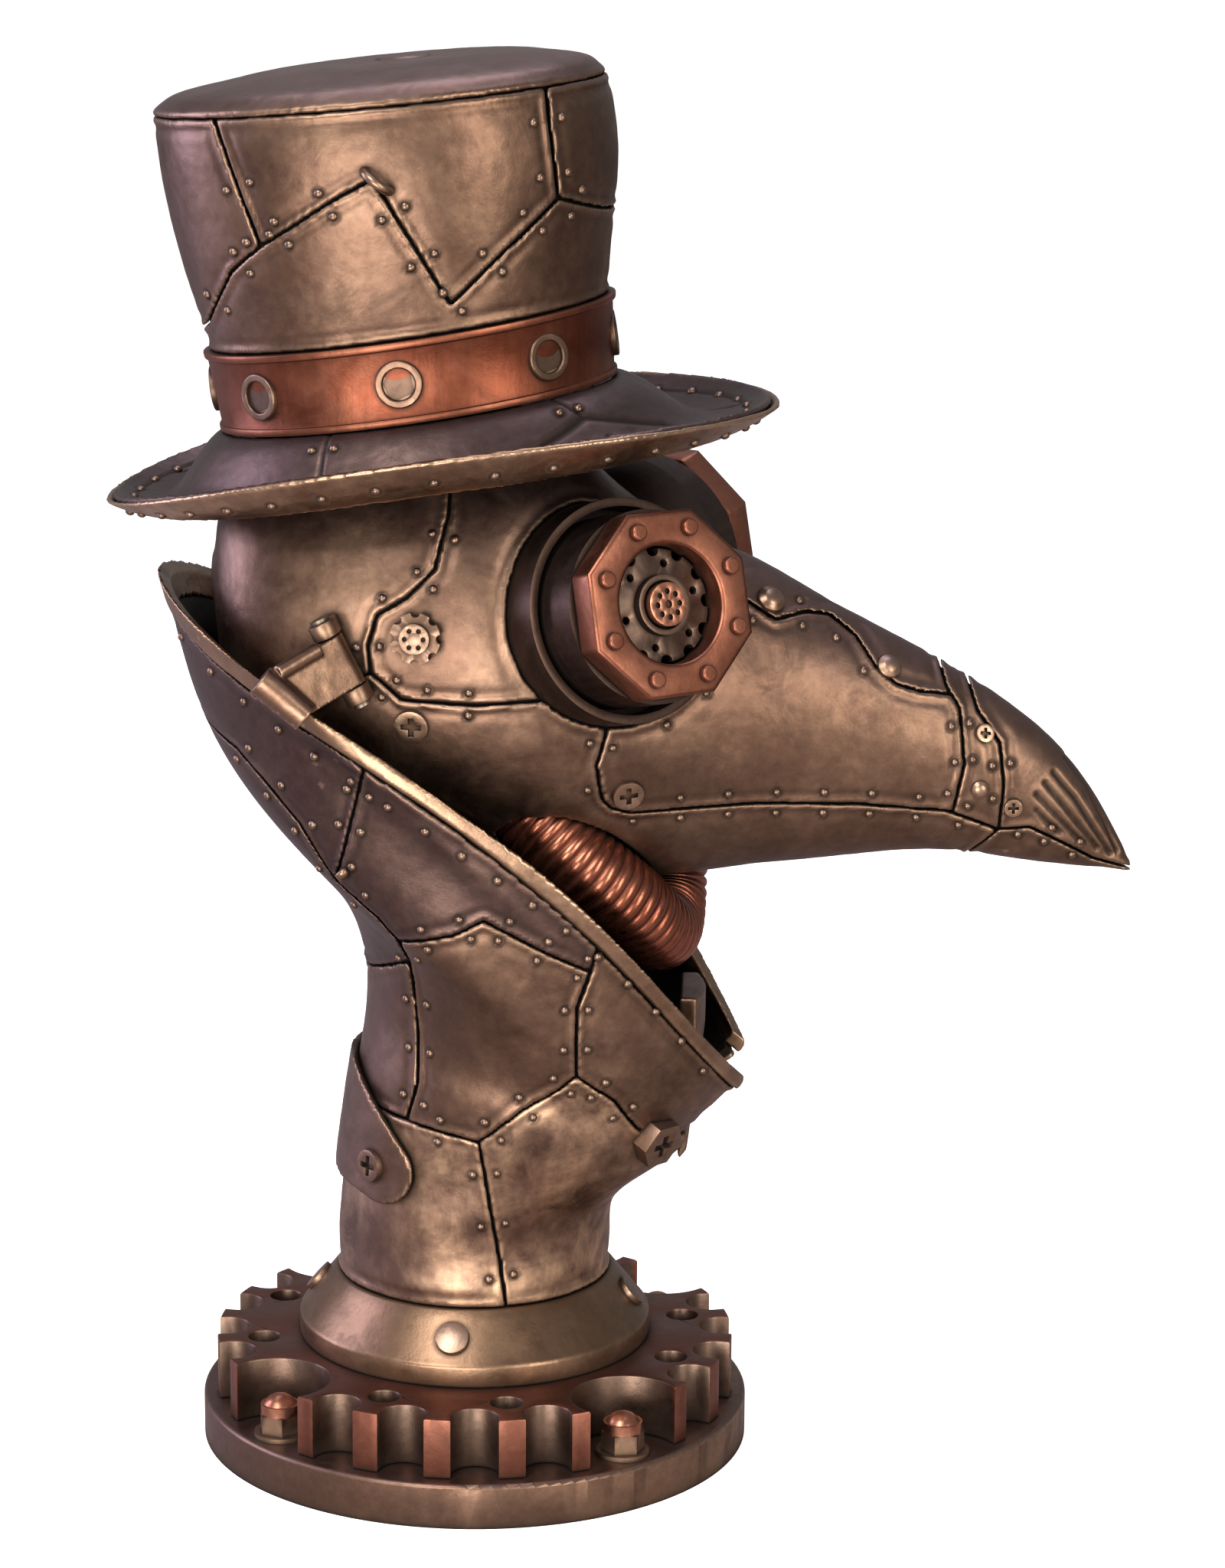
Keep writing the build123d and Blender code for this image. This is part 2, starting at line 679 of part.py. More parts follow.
with BuildPart() as right_lugs:
    for low in (-9.0, 5.7):
        with BuildSketch(hinge_plane.offset(low)):
            Circle(knuckle_r)
            with Locations((0, 2.3)):
                Rectangle(2 * knuckle_r, 4.6)
            Circle(pin_r, mode=Mode.SUBTRACT)
        extrude(amount=3.3)
with BuildPart() as right_pin:
    for low in (-9.8, 9.05):
        with BuildSketch(hinge_plane.offset(low)):
            Circle(1.9)
        extrude(amount=0.8)
    with BuildSketch(hinge_plane.offset(-9.8)):
        Circle(pin_r - 0.02)
    extrude(amount=19.6)
lugs_fitted = right_lugs.part - head_outer
save(Compound(children=[lugs_fitted, mirror(lugs_fitted, about=Plane.XZ)]), "clasp_lugs")
save(Compound(children=[right_pin.part, mirror(right_pin.part, about=Plane.XZ)]), "clasp_pins")

# ---- fastenings of the mask --------------------------------------------
screw_spots = (((-10.2, 164.6), 3.5), ((33.4, 149), 3.2), ((106.5, 158.5), 1.9), ((112.8, 143), 1.9))
stud_spots = (((61.9, 186.4), 2.9), ((86.5, 172.4), 2.5), ((105.9, 147), 1.9))
with BuildPart() as mask_screws:
    for spot, radius in screw_spots:
        for place in skin_places(head_outer, [spot]):
            with BuildSketch(place.offset(-2.0)):
                Circle(radius)
            extrude(amount=2.9)
            with BuildSketch(place.offset(0.9)):
                Rectangle(radius * 1.2, radius * 0.34)
                Rectangle(radius * 0.34, radius * 1.2)
            extrude(amount=-0.8, mode=Mode.SUBTRACT)
with BuildPart() as mask_studs:
    for spot, radius in stud_spots:
        rivets_at(skin_places(head_outer, [spot]), radius, radius * 0.6, 2.4)
save(Compound(children=[mask_screws.part, mask_studs.part]), "mask_screws")

mask_spots = stitch(seam_temple[1:], 9.5, 2.4, 4)
mask_spots += stitch(seam_cheek[2:5], 8.5, 2.4, 5)
mask_spots += stitch(seam_beak[1:10], 9.8, 2.4, 3)
mask_spots += stitch(seam_beak[9:13], 7, 1.7, 4)
mask_spots += stitch(seam_bridge[2:9], 9.5, 2.3, 3)
mask_spots += stitch(seam_band_rear[2:], 7.5, 1.9, 3)
mask_spots += stitch(seam_band_front[1:], 7.5, 1.9, 5)
for step in range(13):
    turn = 2 * pi * (step + 0.3) / 13
    ring = goggle_planes()[0].from_local_coords((25.7 * cos(turn), 25.7 * sin(turn), 0))
    if ring.Z < 204:
        mask_spots.append((ring.X, ring.Z))


def clear_of_fittings(spot):
    # outside the goggle recess, off the screws and well inside the head's own outline
    y = head_guess(*spot)
    offset = Vector(spot[0], -y, spot[1]) - Vector(*goggle_seat)
    fittings = list(screw_spots) + list(stud_spots) + [(knob_spot, 5.5)]
    free = all(hypot(spot[0] - at[0], spot[1] - at[1]) > radius + 1.6 for at, radius in fittings)
    return free and y > 3.2 and offset.cross(goggle_axis).length > recess_r + 1.9


mask_places = skin_places(head_outer, [spot for spot in mask_spots if clear_of_fittings(spot)])
mask_places = [place for place in mask_places if hose_room.distance_to(Vertex(*place.origin)) > 1.6]
with BuildPart() as mask_rivets:
    rivets_at(mask_places, rivet_r * 0.95)
save(mask_rivets.part, "mask_rivets")

# the pipe is a plain tube here; its ribs are too shallow to matter to its fit
save(hose_body, "hose")

# ---- hat: tapered oval crown, copper band, curled brim, all on one tilted axis
hat_right = Vector(cos(radians(hat_tilt)), 0, sin(radians(hat_tilt)))
hat_up = Vector(-sin(radians(hat_tilt)), 0, cos(radians(hat_tilt)))
hat_base = Plane(origin=hat_at, x_dir=hat_right, z_dir=hat_up)
# height, centre forward, half length, half width
crown_sections = [
    (0.2, -0.1, 40.2, 34.0),
    (9.0, 0.1, 40.7, 34.5),
    (20.0, 0.5, 42.1, 35.6),
    (32.0, 0.9, 44.4, 37.4),
    (45.0, 1.5, 46.5, 39.1),
    (57.0, 1.5, 46.9, 39.7),
]
crown_lip = (63.6, 1.4, 46.4, 39.2)
crown_lip_slope = -3.0


def crown_plane(height, centre, slope=0.0):
    origin = Vector(hat_at) + hat_right * centre + hat_up * height
    turned = Plane(origin=origin, x_dir=hat_right, z_dir=hat_up)
    return turned.rotated((0, -slope, 0))


def crown_solid(inset, top=0.0):
    with BuildPart(mode=Mode.PRIVATE) as form:
        for height, centre, half_length, half_width in crown_sections:
            with BuildSketch(crown_plane(height, centre)):
                Ellipse(half_length - inset, half_width - inset)
        height, centre, half_length, half_width = crown_lip
        with BuildSketch(crown_plane(height, centre, crown_lip_slope)):
            Ellipse(half_length - inset, half_width - inset)
        loft()
    return form.part


def hat_point(along, height):
    # side-view spot given in the hat's own axes
    spot = Vector(hat_at) + hat_right * along + hat_up * height
    return (spot.X, spot.Z)


crown_outer = crown_solid(0)
crown_middle = crown_solid(skin_t)
crown_middle_in = crown_solid(skin_t + fit_gap)
crown_inner = crown_solid(skin_t + fit_gap + liner_t)

seam_crown_back = [hat_point(-31, 80), hat_point(-29.4, 67.2), hat_point(-23.4, 39.2)]
seam_crown_long = [hat_point(-60, 12), hat_point(-39.1, 23.3), hat_point(-30.7, 34.6), hat_point(-23.4, 39.2)]
seam_crown_long += [hat_point(-7.8, 46.3), hat_point(1.5, 49.9), hat_point(11.6, 65.9), hat_point(13, 80)]
seam_crown_vee = [hat_point(1.5, 49.9), hat_point(12.6, 22.7), hat_point(36.1, 39.7), hat_point(37.3, 80)]
seam_crown_low = [hat_point(12.6, 22.7), hat_point(15.2, 12)]
seam_crown_front = [hat_point(36.1, 39.7), hat_point(45.3, 34.4), hat_point(60, 30)]

crown_skin = crown_outer - crown_middle
with BuildPart(mode=Mode.PRIVATE) as band_space:
    with BuildSketch(hat_base.offset(-10)):
        Rectangle(160, 160)
    extrude(amount=band_h + 10.05)
crown_skin = crown_skin - band_space.part
for seam in (seam_crown_back, seam_crown_long, seam_crown_vee, seam_crown_low, seam_crown_front):
    crown_skin = crown_skin - seam_blade(seam)
pool = list(crown_skin.solids())


def hat_mark(along, across, height):
    spot = Vector(hat_at) + hat_right * along + hat_up * height
    return (spot.X, across, spot.Z)


save(take(pool, hat_mark(-46, 0, 50)), "crown_back_panel")
save(take(pool, hat_mark(-42, 0, 20), hat_mark(44, 0, 22)), "crown_low_panels")
save(take(pool, hat_mark(48, 0, 50)), "crown_front_panel")
side_marks = [hat_mark(-10, side * 39, 55) for side in (-1, 1)]
wedge_marks = [hat_mark(20, side * 38, 50) for side in (-1, 1)]
save(take(pool, *side_marks, *wedge_marks), "crown_side_panels")

crown_lining = crown_middle_in - crown_inner
save(crown_lining, "crown_liner")

# lid: a shallow dome dropped on the crown's lip
top_height, top_centre, top_length, top_width = crown_lip
# rise above the lip, shift forward, share of the lip's width
lid_outside = (
    (0.05, 0, 1.0), (1.3, 0, 0.995), (3.0, 0.5, 0.955), (5.2, 3.0, 0.74), (6.6, 5.0, 0.42), (7.1, 6.0, 0.12),
)
lid_inside = ((0.04, 0, 0.93), (1.2, 0, 0.92), (2.6, 2.0, 0.66), (3.2, 3.0, 0.40))
with BuildPart() as crown_lid:
    for rise, shift, share in lid_outside:
        with BuildSketch(crown_plane(top_height + rise, top_centre + shift, crown_lip_slope)):
            Ellipse(top_length * share, top_width * share)
    loft()
    for rise, shift, share in lid_inside:
        with BuildSketch(crown_plane(top_height + rise, top_centre + shift, crown_lip_slope)):
            Ellipse(top_length * share, top_width * share)
    loft(mode=Mode.SUBTRACT)
save(crown_lid.part, "crown_lid")

# copper band with a raised bead along each edge
with BuildPart() as hat_band:
    for low, high, extra in ((0.2, 1.7, 1.5), (1.7, band_h - 1.5, 0.9), (band_h - 1.5, band_h, 1.5)):
        for height in (low, high):
            centre, half_length, half_width = between(crown_sections, height)
            with BuildSketch(crown_plane(height, centre)):
                Ellipse(half_length + extra, half_width + extra)
        loft()
    add(crown_middle, mode=Mode.SUBTRACT)
save(hat_band.part, "hat_band")


def band_places(count, height, out=0.0):
    # planes standing around the band, evenly turned, facing outward
    centre, half_length, half_width = between(crown_sections, height)
    places = []
    for step in range(count):
        turn = 2 * pi * step / count
        normal = Vector(cos(turn) / half_length, sin(turn) / half_width, 0).normalized()
        x = centre + (half_length + 0.9) * cos(turn)
        y = (half_width + 0.9) * sin(turn)
        tilt_out = hat_right * normal.X + Vector(0, 1, 0) * normal.Y
        foot = Vector(hat_at) + hat_right * x + Vector(0, y, 0) + hat_up * height + tilt_out * out
        places.append(Plane(origin=foot, x_dir=hat_up.cross(tilt_out), z_dir=tilt_out))
    return places


with BuildPart() as band_eyelets:
    for place in band_places(8, band_h / 2):
        with BuildSketch(place.offset(-1.6)):
            Circle(4.8)
            Circle(3.3, mode=Mode.SUBTRACT)
        extrude(amount=2.5)
    fillet(band_eyelets.faces().filter_by(GeomType.PLANE).edges().filter_by(GeomType.CIRCLE), 0.35)
with BuildPart() as band_studs:
    for place in band_places(8, band_h / 2):
        with BuildSketch(place.offset(-1.6)):
            Circle(3.25)
        extrude(amount=1.8)
save(Compound(children=[band_eyelets.part, band_studs.part]), "band_eyelets")

# brim: a closed oval surface, falling from the crown and curling up at its edge
brim_front, brim_back, brim_side = 71.8, 65.5, 55.0
brim_t = 1.6


def brim_point(turn, share):
    # share 0 at the crown, 1 at the outer edge
    inner = Vector(40.4 * cos(turn), 34.2 * sin(turn), 0)
    reach = brim_front if cos(turn) > 0 else brim_back
    outer = Vector(reach * cos(turn), brim_side * sin(turn), 0)
    sideways = sin(turn) ** 2
    edge = -9.0 + 4.6 * sideways
    valley = -12.0 + 1.0 * sideways
    dip = 0.66 - 0.02 * sideways
    if share <= dip:
        bend = 0.5 - 0.5 * cos(pi * share / dip)
        height = valley * bend
    else:
        bend = (share - dip) / (1 - dip)
        height = valley + (edge - valley) * bend ** 1.6
    flat = inner + (outer - inner) * share
    return Vector(hat_at) + hat_right * flat.X + Vector(0, flat.Y, 0) + hat_up * height


def brim_face(first, last, shares):
    # first and last in degrees around the crown
    count = max(5, round(abs(last - first) / 9))
    rows = []
    for step in range(count + 1):
        turn = radians(first + (last - first) * step / count)
        rows.append([brim_point(turn, share) for share in shares])
    return Face.make_surface_from_array_of_points(rows, tol=0.02)


plate_shares = [0.0, 0.12, 0.26, 0.4, 0.53, 0.66, 0.78, 0.89, 1.0]
split_front, split_back = 46.0, 112.0
with BuildPart() as brim_plates:
    for first, last in (
        (-split_front + 0.3, split_front - 0.3),
        (split_front + 0.3, split_back - 0.3),
        (split_back + 0.3, 360 - split_back - 0.3),
        (-split_back + 0.3, -split_front - 0.3),
    ):
        thicken(brim_face(first, last, plate_shares), amount=brim_t)
save(brim_plates.part, "brim_plates")


def brim_normal(turn, share):
    # outward and down, square to the brim surface
    across = brim_point(turn, share + 0.01) - brim_point(turn, share - 0.01)
    around = brim_point(turn + 0.01, share) - brim_point(turn - 0.01, share)
    return across.cross(around).normalized() * -1


hem_shares = [0.74, 0.8, 0.86, 0.92, 0.98, 1.035]


def hem_face(first, last):
    count = max(5, round(abs(last - first) / 9))
    rows = []
    for step in range(count + 1):
        turn = radians(first + (last - first) * step / count)
        row = [brim_point(turn, share) + brim_normal(turn, share) * (brim_t + 0.06) for share in hem_shares]
        rows.append(row)
    return Face.make_surface_from_array_of_points(rows, tol=0.02)


hem_t = 1.1
with BuildPart() as brim_hem:
    for first, last in ((0, 90), (90, 180), (180, 270), (270, 360)):
        thicken(hem_face(first + 0.15, last - 0.15), amount=hem_t)
save(brim_hem.part, "brim_hem")

hem_rivet_count = 36
hem_places = []
for step in range(hem_rivet_count):
    turn = 2 * pi * (step + 0.5) / hem_rivet_count
    down = brim_normal(turn, 0.88)
    foot = brim_point(turn, 0.88) + down * (brim_t + 0.06 + hem_t)
    hem_places.append(Plane(origin=foot, z_dir=down))
    up = brim_normal(turn, 0.85) * -1
    hem_places.append(Plane(origin=brim_point(turn, 0.85), z_dir=up))
for turn_at in (split_front, split_back):
    for share in (0.2, 0.45, 0.68):
        for hand in (-3.2, 3.2):
            for side in (-1, 1):
                turn = radians(side * (turn_at + hand))
                up = brim_normal(turn, share) * -1
                hem_places.append(Plane(origin=brim_point(turn, share), z_dir=up))
with BuildPart() as brim_rivets:
    rivets_at(hem_places, rivet_r, rivet_h, 1.2)
save(brim_rivets.part, "brim_rivets")


crown_spots = stitch(seam_crown_back[1:], 11, 2.7, 5)
crown_spots += stitch(seam_crown_long[1:7], 11, 2.7, 6)
crown_spots += stitch(seam_crown_vee[:4], 11, 2.7, 8)
crown_spots += stitch(seam_crown_front[:2], 11, 2.7, 4)
link_spot = hat_point(2.3, 49.2)
crown_spots = [spot for spot in crown_spots if hypot(spot[0] - link_spot[0], spot[1] - link_spot[1]) > 5.2]
high_limit = Vector(hat_at).Z + 60
crown_spots = [spot for spot in crown_spots if spot[1] < high_limit + 0.15 * spot[0]]
with BuildPart() as crown_rivets:
    rivets_at(skin_places(crown_outer, crown_spots))
save(crown_rivets.part, "crown_rivets")

# a link sewn through the crown where three seams meet
staple_place = skin_places(crown_outer, [link_spot], sides=(-1,))[0]
with BuildPart() as crown_staple:
    with Locations(Plane(origin=staple_place.origin, x_dir=staple_place.z_dir, z_dir=Vector(0.6, 0, 0.8))):
        Torus(3.1, 0.95)
save(crown_staple.part, "crown_staple")
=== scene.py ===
import json
import math
import random

import bmesh
import bpy
import numpy as np
from mathutils import Matrix, Vector, noise
from mathutils.bvhtree import BVHTree
from mathutils.kdtree import KDTree


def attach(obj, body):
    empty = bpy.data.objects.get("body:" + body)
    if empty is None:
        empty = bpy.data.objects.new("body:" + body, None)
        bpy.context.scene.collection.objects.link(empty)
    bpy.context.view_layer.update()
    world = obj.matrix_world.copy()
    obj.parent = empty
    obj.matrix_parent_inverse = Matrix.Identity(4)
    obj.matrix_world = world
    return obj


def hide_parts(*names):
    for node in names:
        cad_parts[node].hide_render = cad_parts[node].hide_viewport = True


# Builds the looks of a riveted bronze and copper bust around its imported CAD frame. Metres, the row frame.

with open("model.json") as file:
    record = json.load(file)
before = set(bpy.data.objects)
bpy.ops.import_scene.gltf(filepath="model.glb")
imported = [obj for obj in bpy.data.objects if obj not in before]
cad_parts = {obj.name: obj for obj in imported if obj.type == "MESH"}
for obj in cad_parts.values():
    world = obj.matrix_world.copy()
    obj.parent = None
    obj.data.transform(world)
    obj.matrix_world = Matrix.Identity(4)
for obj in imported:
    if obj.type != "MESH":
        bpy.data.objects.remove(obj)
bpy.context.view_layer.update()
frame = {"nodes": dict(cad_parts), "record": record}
NODES = frame["nodes"]
BODY_OF = {n: body for body, names in frame["record"]["behaviour"]["bodies"].items() for n in names}
MM = 0.001
random.seed(11)


# ---------------------------------------------------------------- materials
def node_tree(name):
    material = bpy.data.materials.new(name)
    material.use_nodes = True
    tree = material.node_tree
    tree.nodes.clear()
    return material, tree


def add_node(tree, kind, **values):
    node = tree.nodes.new(kind)
    for key, value in values.items():
        if key in node.inputs:
            node.inputs[key].default_value = value
        else:
            setattr(node, key, value)
    return node


def ramp(tree, source, stops):
    node = tree.nodes.new("ShaderNodeValToRGB")
    while len(node.color_ramp.elements) > 1:
        node.color_ramp.elements.remove(node.color_ramp.elements[-1])
    for index, (place, value) in enumerate(stops):
        if index == 0:
            element = node.color_ramp.elements[0]
            element.position = place
        else:
            element = node.color_ramp.elements.new(place)
        element.color = (value, value, value, 1) if isinstance(value, (int, float)) else (*value, 1)
    tree.links.new(source, node.inputs["Fac"])
    return node.outputs["Color"]


def mix(tree, factor, low, high, blend="MIX"):
    node = tree.nodes.new("ShaderNodeMix")
    node.data_type = "RGBA"
    node.blend_type = blend
    node.clamp_factor = True
    for socket, value in ((node.inputs["Factor"], factor), (node.inputs["A"], low), (node.inputs["B"], high)):
        if isinstance(value, bpy.types.NodeSocket):
            tree.links.new(value, socket)
        elif isinstance(value, (int, float)) and socket.type == "VALUE":
            socket.default_value = value
        elif isinstance(value, (int, float)):
            socket.default_value = (value, value, value, 1)
        else:
            socket.default_value = (*value, 1)
    return node.outputs["Result"]


def math_node(tree, operation, first, second=0.0, clamp=False):
    node = tree.nodes.new("ShaderNodeMath")
    node.operation = operation
    node.use_clamp = clamp
    for socket, value in ((node.inputs[0], first), (node.inputs[1], second)):
        if isinstance(value, bpy.types.NodeSocket):
            tree.links.new(value, socket)
        else:
            socket.default_value = value
    return node.outputs[0]


def noise_value(tree, coords, scale, detail=4.0, rough=0.55, distortion=0.0):
    node = tree.nodes.new("ShaderNodeTexNoise")
    node.inputs["Scale"].default_value = scale
    node.inputs["Detail"].default_value = detail
    node.inputs["Roughness"].default_value = rough
    node.inputs["Distortion"].default_value = distortion
    tree.links.new(coords, node.inputs["Vector"])
    return node.outputs["Fac"]


# the fourth colour is a painted violet-grey sky reflection laid on surfaces that face up or back
def antique_metal(name, dark, mid, bright, sky_sheen_colour, rough=0.36, patch=0.5, streak=(1, 1, 1), wash=1.0, bump=0.35, blots=0.28, cover=(0.38, 0.66)):
    # dark wash in the recesses, mid tone in the field, bright rubbed metal on the high spots
    material, tree = node_tree(name)
    link = tree.links.new
    coords = tree.nodes.new("ShaderNodeTexCoord").outputs["Object"]
    stretch = add_node(tree, "ShaderNodeMapping")
    stretch.inputs["Scale"].default_value = streak
    link(coords, stretch.inputs["Vector"])
    fine_coords = stretch.outputs["Vector"]
    broad = noise_value(tree, coords, 26, 5, 0.6, 0.6)
    middle = noise_value(tree, coords, 95, 6, 0.65, 0.3)
    brushed = noise_value(tree, fine_coords, 420, 5, 0.7)
    speck = noise_value(tree, coords, 1500, 3, 0.7)
    hollow = add_node(tree, "ShaderNodeAmbientOcclusion", samples=6)
    hollow.inputs["Distance"].default_value = 5 * MM
    tight = add_node(tree, "ShaderNodeAmbientOcclusion", samples=6)
    tight.inputs["Distance"].default_value = 1.3 * MM
    point = tree.nodes.new("ShaderNodeNewGeometry").outputs["Pointiness"]
    edge = ramp(tree, point, ((0.50, 0.0), (0.60, 1.0)))
    rub = ramp(tree, broad, ((cover[0], 0.0), (cover[1], 1.0)))
    rub_fine = ramp(tree, middle, ((0.35, 0.0), (0.7, 1.0)))
    high = math_node(tree, "MULTIPLY", rub, rub_fine)
    high = math_node(tree, "MULTIPLY", high, patch, True)
    high = math_node(tree, "ADD", high, math_node(tree, "MULTIPLY", edge, 0.75), True)
    colour = mix(tree, high, mid, bright)
    shade = ramp(tree, brushed, ((0.3, 0.82), (0.7, 1.12)))
    colour = mix(tree, 1.0, colour, shade, "MULTIPLY")
    # painted violet-grey sky reflection where the surface faces up or back, patchy with noise
    normal = tree.nodes.new("ShaderNodeNewGeometry").outputs["Normal"]
    split = tree.nodes.new("ShaderNodeSeparateXYZ")
    link(normal, split.inputs[0])
    sheen_facing_up = ramp(tree, split.outputs["Z"], ((0.25, 0.0), (0.85, 1.0)))
    sheen_facing_back = ramp(tree, math_node(tree, "MULTIPLY", split.outputs["X"], -1.0), ((0.35, 0.0), (0.95, 0.8)))
    painted_sky_sheen = math_node(tree, "MAXIMUM", sheen_facing_up, sheen_facing_back)
    painted_sky_sheen = math_node(tree, "MULTIPLY", painted_sky_sheen, ramp(tree, middle, ((0.3, 0.35), (0.6, 0.8))))
    colour = mix(tree, painted_sky_sheen, colour, sky_sheen_colour)
    grime = ramp(tree, hollow.outputs["AO"], ((0.35, 1.0), (0.86, 0.0)))
    grime_tight = ramp(tree, tight.outputs["AO"], ((0.45, 1.0), (0.95, 0.0)))
    blot = ramp(tree, noise_value(tree, coords, 55, 8, 0.72, 1.2), ((0.50, 0.0), (0.64, 1.0)))
    dirt = math_node(tree, "MAXIMUM", math_node(tree, "MULTIPLY", grime, 0.75 * wash), math_node(tree, "MULTIPLY", grime_tight, wash))
    dirt = math_node(tree, "MAXIMUM", dirt, math_node(tree, "MULTIPLY", blot, blots * wash), True)
    painted = tree.nodes.new("ShaderNodeAttribute")
    painted.attribute_name = "wash"
    dirt = math_node(tree, "MAXIMUM", dirt, painted.outputs["Fac"], True)
    colour = mix(tree, dirt, colour, dark)
    shader = tree.nodes.new("ShaderNodeBsdfPrincipled")
    link(colour, shader.inputs["Base Color"])
    metal = ramp(tree, dirt, ((0.0, 1.0), (1.0, 0.7)))
    link(metal, shader.inputs["Metallic"])
    roughness = math_node(tree, "MULTIPLY_ADD", middle, 0.22)
    tree.nodes[-1].inputs[2].default_value = rough - 0.11
    roughness = math_node(tree, "ADD", roughness, math_node(tree, "MULTIPLY", dirt, 0.25), True)
    link(roughness, shader.inputs["Roughness"])
    height = math_node(tree, "ADD", math_node(tree, "MULTIPLY", middle, 0.7), math_node(tree, "MULTIPLY", speck, 0.12))
    height = math_node(tree, "ADD", height, math_node(tree, "MULTIPLY", brushed, 0.12))
    relief = tree.nodes.new("ShaderNodeBump")
    relief.inputs["Strength"].default_value = bump
    relief.inputs["Distance"].default_value = 0.5 * MM
    link(height, relief.inputs["Height"])
    link(relief.outputs["Normal"], shader.inputs["Normal"])
    output = tree.nodes.new("ShaderNodeOutputMaterial")
    link(shader.outputs[0], output.inputs[0])
    return material


# the fourth colour of each metal below is its painted violet-grey sky reflection on surfaces facing up or back
DARK = (0.012, 0.008, 0.006)
BRONZE = antique_metal("bronze", DARK, (0.15, 0.087, 0.06), (0.46, 0.296, 0.196), (0.15, 0.1, 0.101), rough=0.40, patch=0.62)
BRONZE_PATCHY = antique_metal(
    "bronze_patchy", DARK, (0.175, 0.103, 0.077), (0.62, 0.405, 0.26), (0.17, 0.112, 0.105), rough=0.42, patch=1.35,
    blots=0.5, cover=(0.36, 0.52), streak=(1, 1, 0.25),
)
FLANGE_METAL = antique_metal("bronze_flange", DARK, (0.175, 0.103, 0.064), (0.42, 0.266, 0.163), (0.205, 0.125, 0.083), rough=0.36, patch=0.7)
BRONZE_DEEP = antique_metal("bronze_brim", DARK, (0.092, 0.057, 0.050), (0.28, 0.178, 0.138), (0.088, 0.062, 0.067), rough=0.40, patch=0.45)
BRONZE_RUBBED = antique_metal("bronze_bright", DARK, (0.24, 0.143, 0.095), (0.6, 0.398, 0.268), (0.21, 0.143, 0.134), rough=0.34, patch=0.8)
RIM_GOLD = antique_metal("bronze_rim", DARK, (0.27, 0.165, 0.105), (0.62, 0.41, 0.27), (0.33, 0.215, 0.15), rough=0.34, patch=0.9)
RIVET = antique_metal("rivet_bronze", DARK, (0.15, 0.091, 0.062), (0.38, 0.25, 0.175), (0.19, 0.13, 0.124), rough=0.36, patch=0.5)
BRONZE_DARK = antique_metal("dark_bronze", DARK, (0.052, 0.031, 0.025), (0.17, 0.109, 0.078), (0.06, 0.042, 0.043), rough=0.42, patch=0.3)
GEAR_BRONZE = antique_metal("gear_bronze", DARK, (0.105, 0.069, 0.052), (0.28, 0.185, 0.134), (0.1, 0.069, 0.072), rough=0.40, patch=0.4)
BASE_METAL = antique_metal("base_bronze", DARK, (0.155, 0.09, 0.064), (0.38, 0.236, 0.16), (0.13, 0.083, 0.077), rough=0.42, patch=0.45)
COPPER_AGED = antique_metal("copper_plinth", DARK, (0.145, 0.050, 0.033), (0.37, 0.152, 0.10), (0.125, 0.056, 0.045), rough=0.42, patch=0.42)
COPPER_BEZEL = antique_metal("copper_bezel", DARK, (0.24, 0.085, 0.05), (0.49, 0.213, 0.136), (0.24, 0.097, 0.072), rough=0.40, patch=0.6)
COPPER_BRIGHT = antique_metal("copper_bright", DARK, (0.40, 0.150, 0.088), (0.72, 0.35, 0.23), (0.42, 0.17, 0.115), rough=0.30, patch=0.8)
COPPER_BAND = antique_metal("copper_band", DARK, (0.165, 0.047, 0.025), (0.40, 0.155, 0.092), (0.165, 0.058, 0.040), rough=0.38, streak=(1, 1, 0.06), patch=0.75)
COPPER_HOSE = antique_metal("copper_hose", DARK, (0.255, 0.070, 0.040), (0.60, 0.24, 0.145), (0.26, 0.095, 0.065), rough=0.28, patch=0.6)
IRON = antique_metal("iron_inner", (0.004, 0.003, 0.003), (0.016, 0.012, 0.010), (0.035, 0.028, 0.022), (0.014, 0.012, 0.011), rough=0.55, patch=0.2)
STEEL = antique_metal("steel_pins", DARK, (0.15, 0.115, 0.09), (0.36, 0.29, 0.23), (0.15, 0.12, 0.11), rough=0.36)

SLOT_MATERIAL = {
    "bronze": BRONZE,
    "bronze_brim": BRONZE_DEEP,
    "bronze_bright": BRONZE_RUBBED,
    "dark_bronze": BRONZE_DARK,
    "copper_plinth": COPPER_AGED,
    "copper_bright": COPPER_BRIGHT,
    "copper_band": COPPER_BAND,
    "copper_hose": COPPER_HOSE,
    "iron_inner": IRON,
    "steel_pins": STEEL,
}
NODE_SLOT = {entry["node"]: entry["material_slot"] for entry in frame["record"]["subparts"]}


def dress(obj, material):
    obj.data.materials.clear()
    obj.data.materials.append(material)


def new_piece(name, mesh, node, material):
    # a piece built here that stands for one CAD node and moves with its body
    obj = bpy.data.objects.new(name, mesh)
    bpy.context.scene.collection.objects.link(obj)
    dress(obj, material)
    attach(obj, BODY_OF[node])
    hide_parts(node)
    return obj


# ---------------------------------------------------------------- sheet metal
def mesh_bvh(names):
    vertices, polygons = [], []
    for name in names:
        mesh = NODES[name].data
        start = len(vertices)
        vertices.extend(v.co[:] for v in mesh.vertices)
        polygons.extend([start + i for i in p.vertices] for p in mesh.polygons)
    return BVHTree.FromPolygons(vertices, polygons)


def evaluated_copy(obj):
    graph = bpy.context.evaluated_depsgraph_get()
    return bpy.data.meshes.new_from_object(obj.evaluated_get(graph), depsgraph=graph)


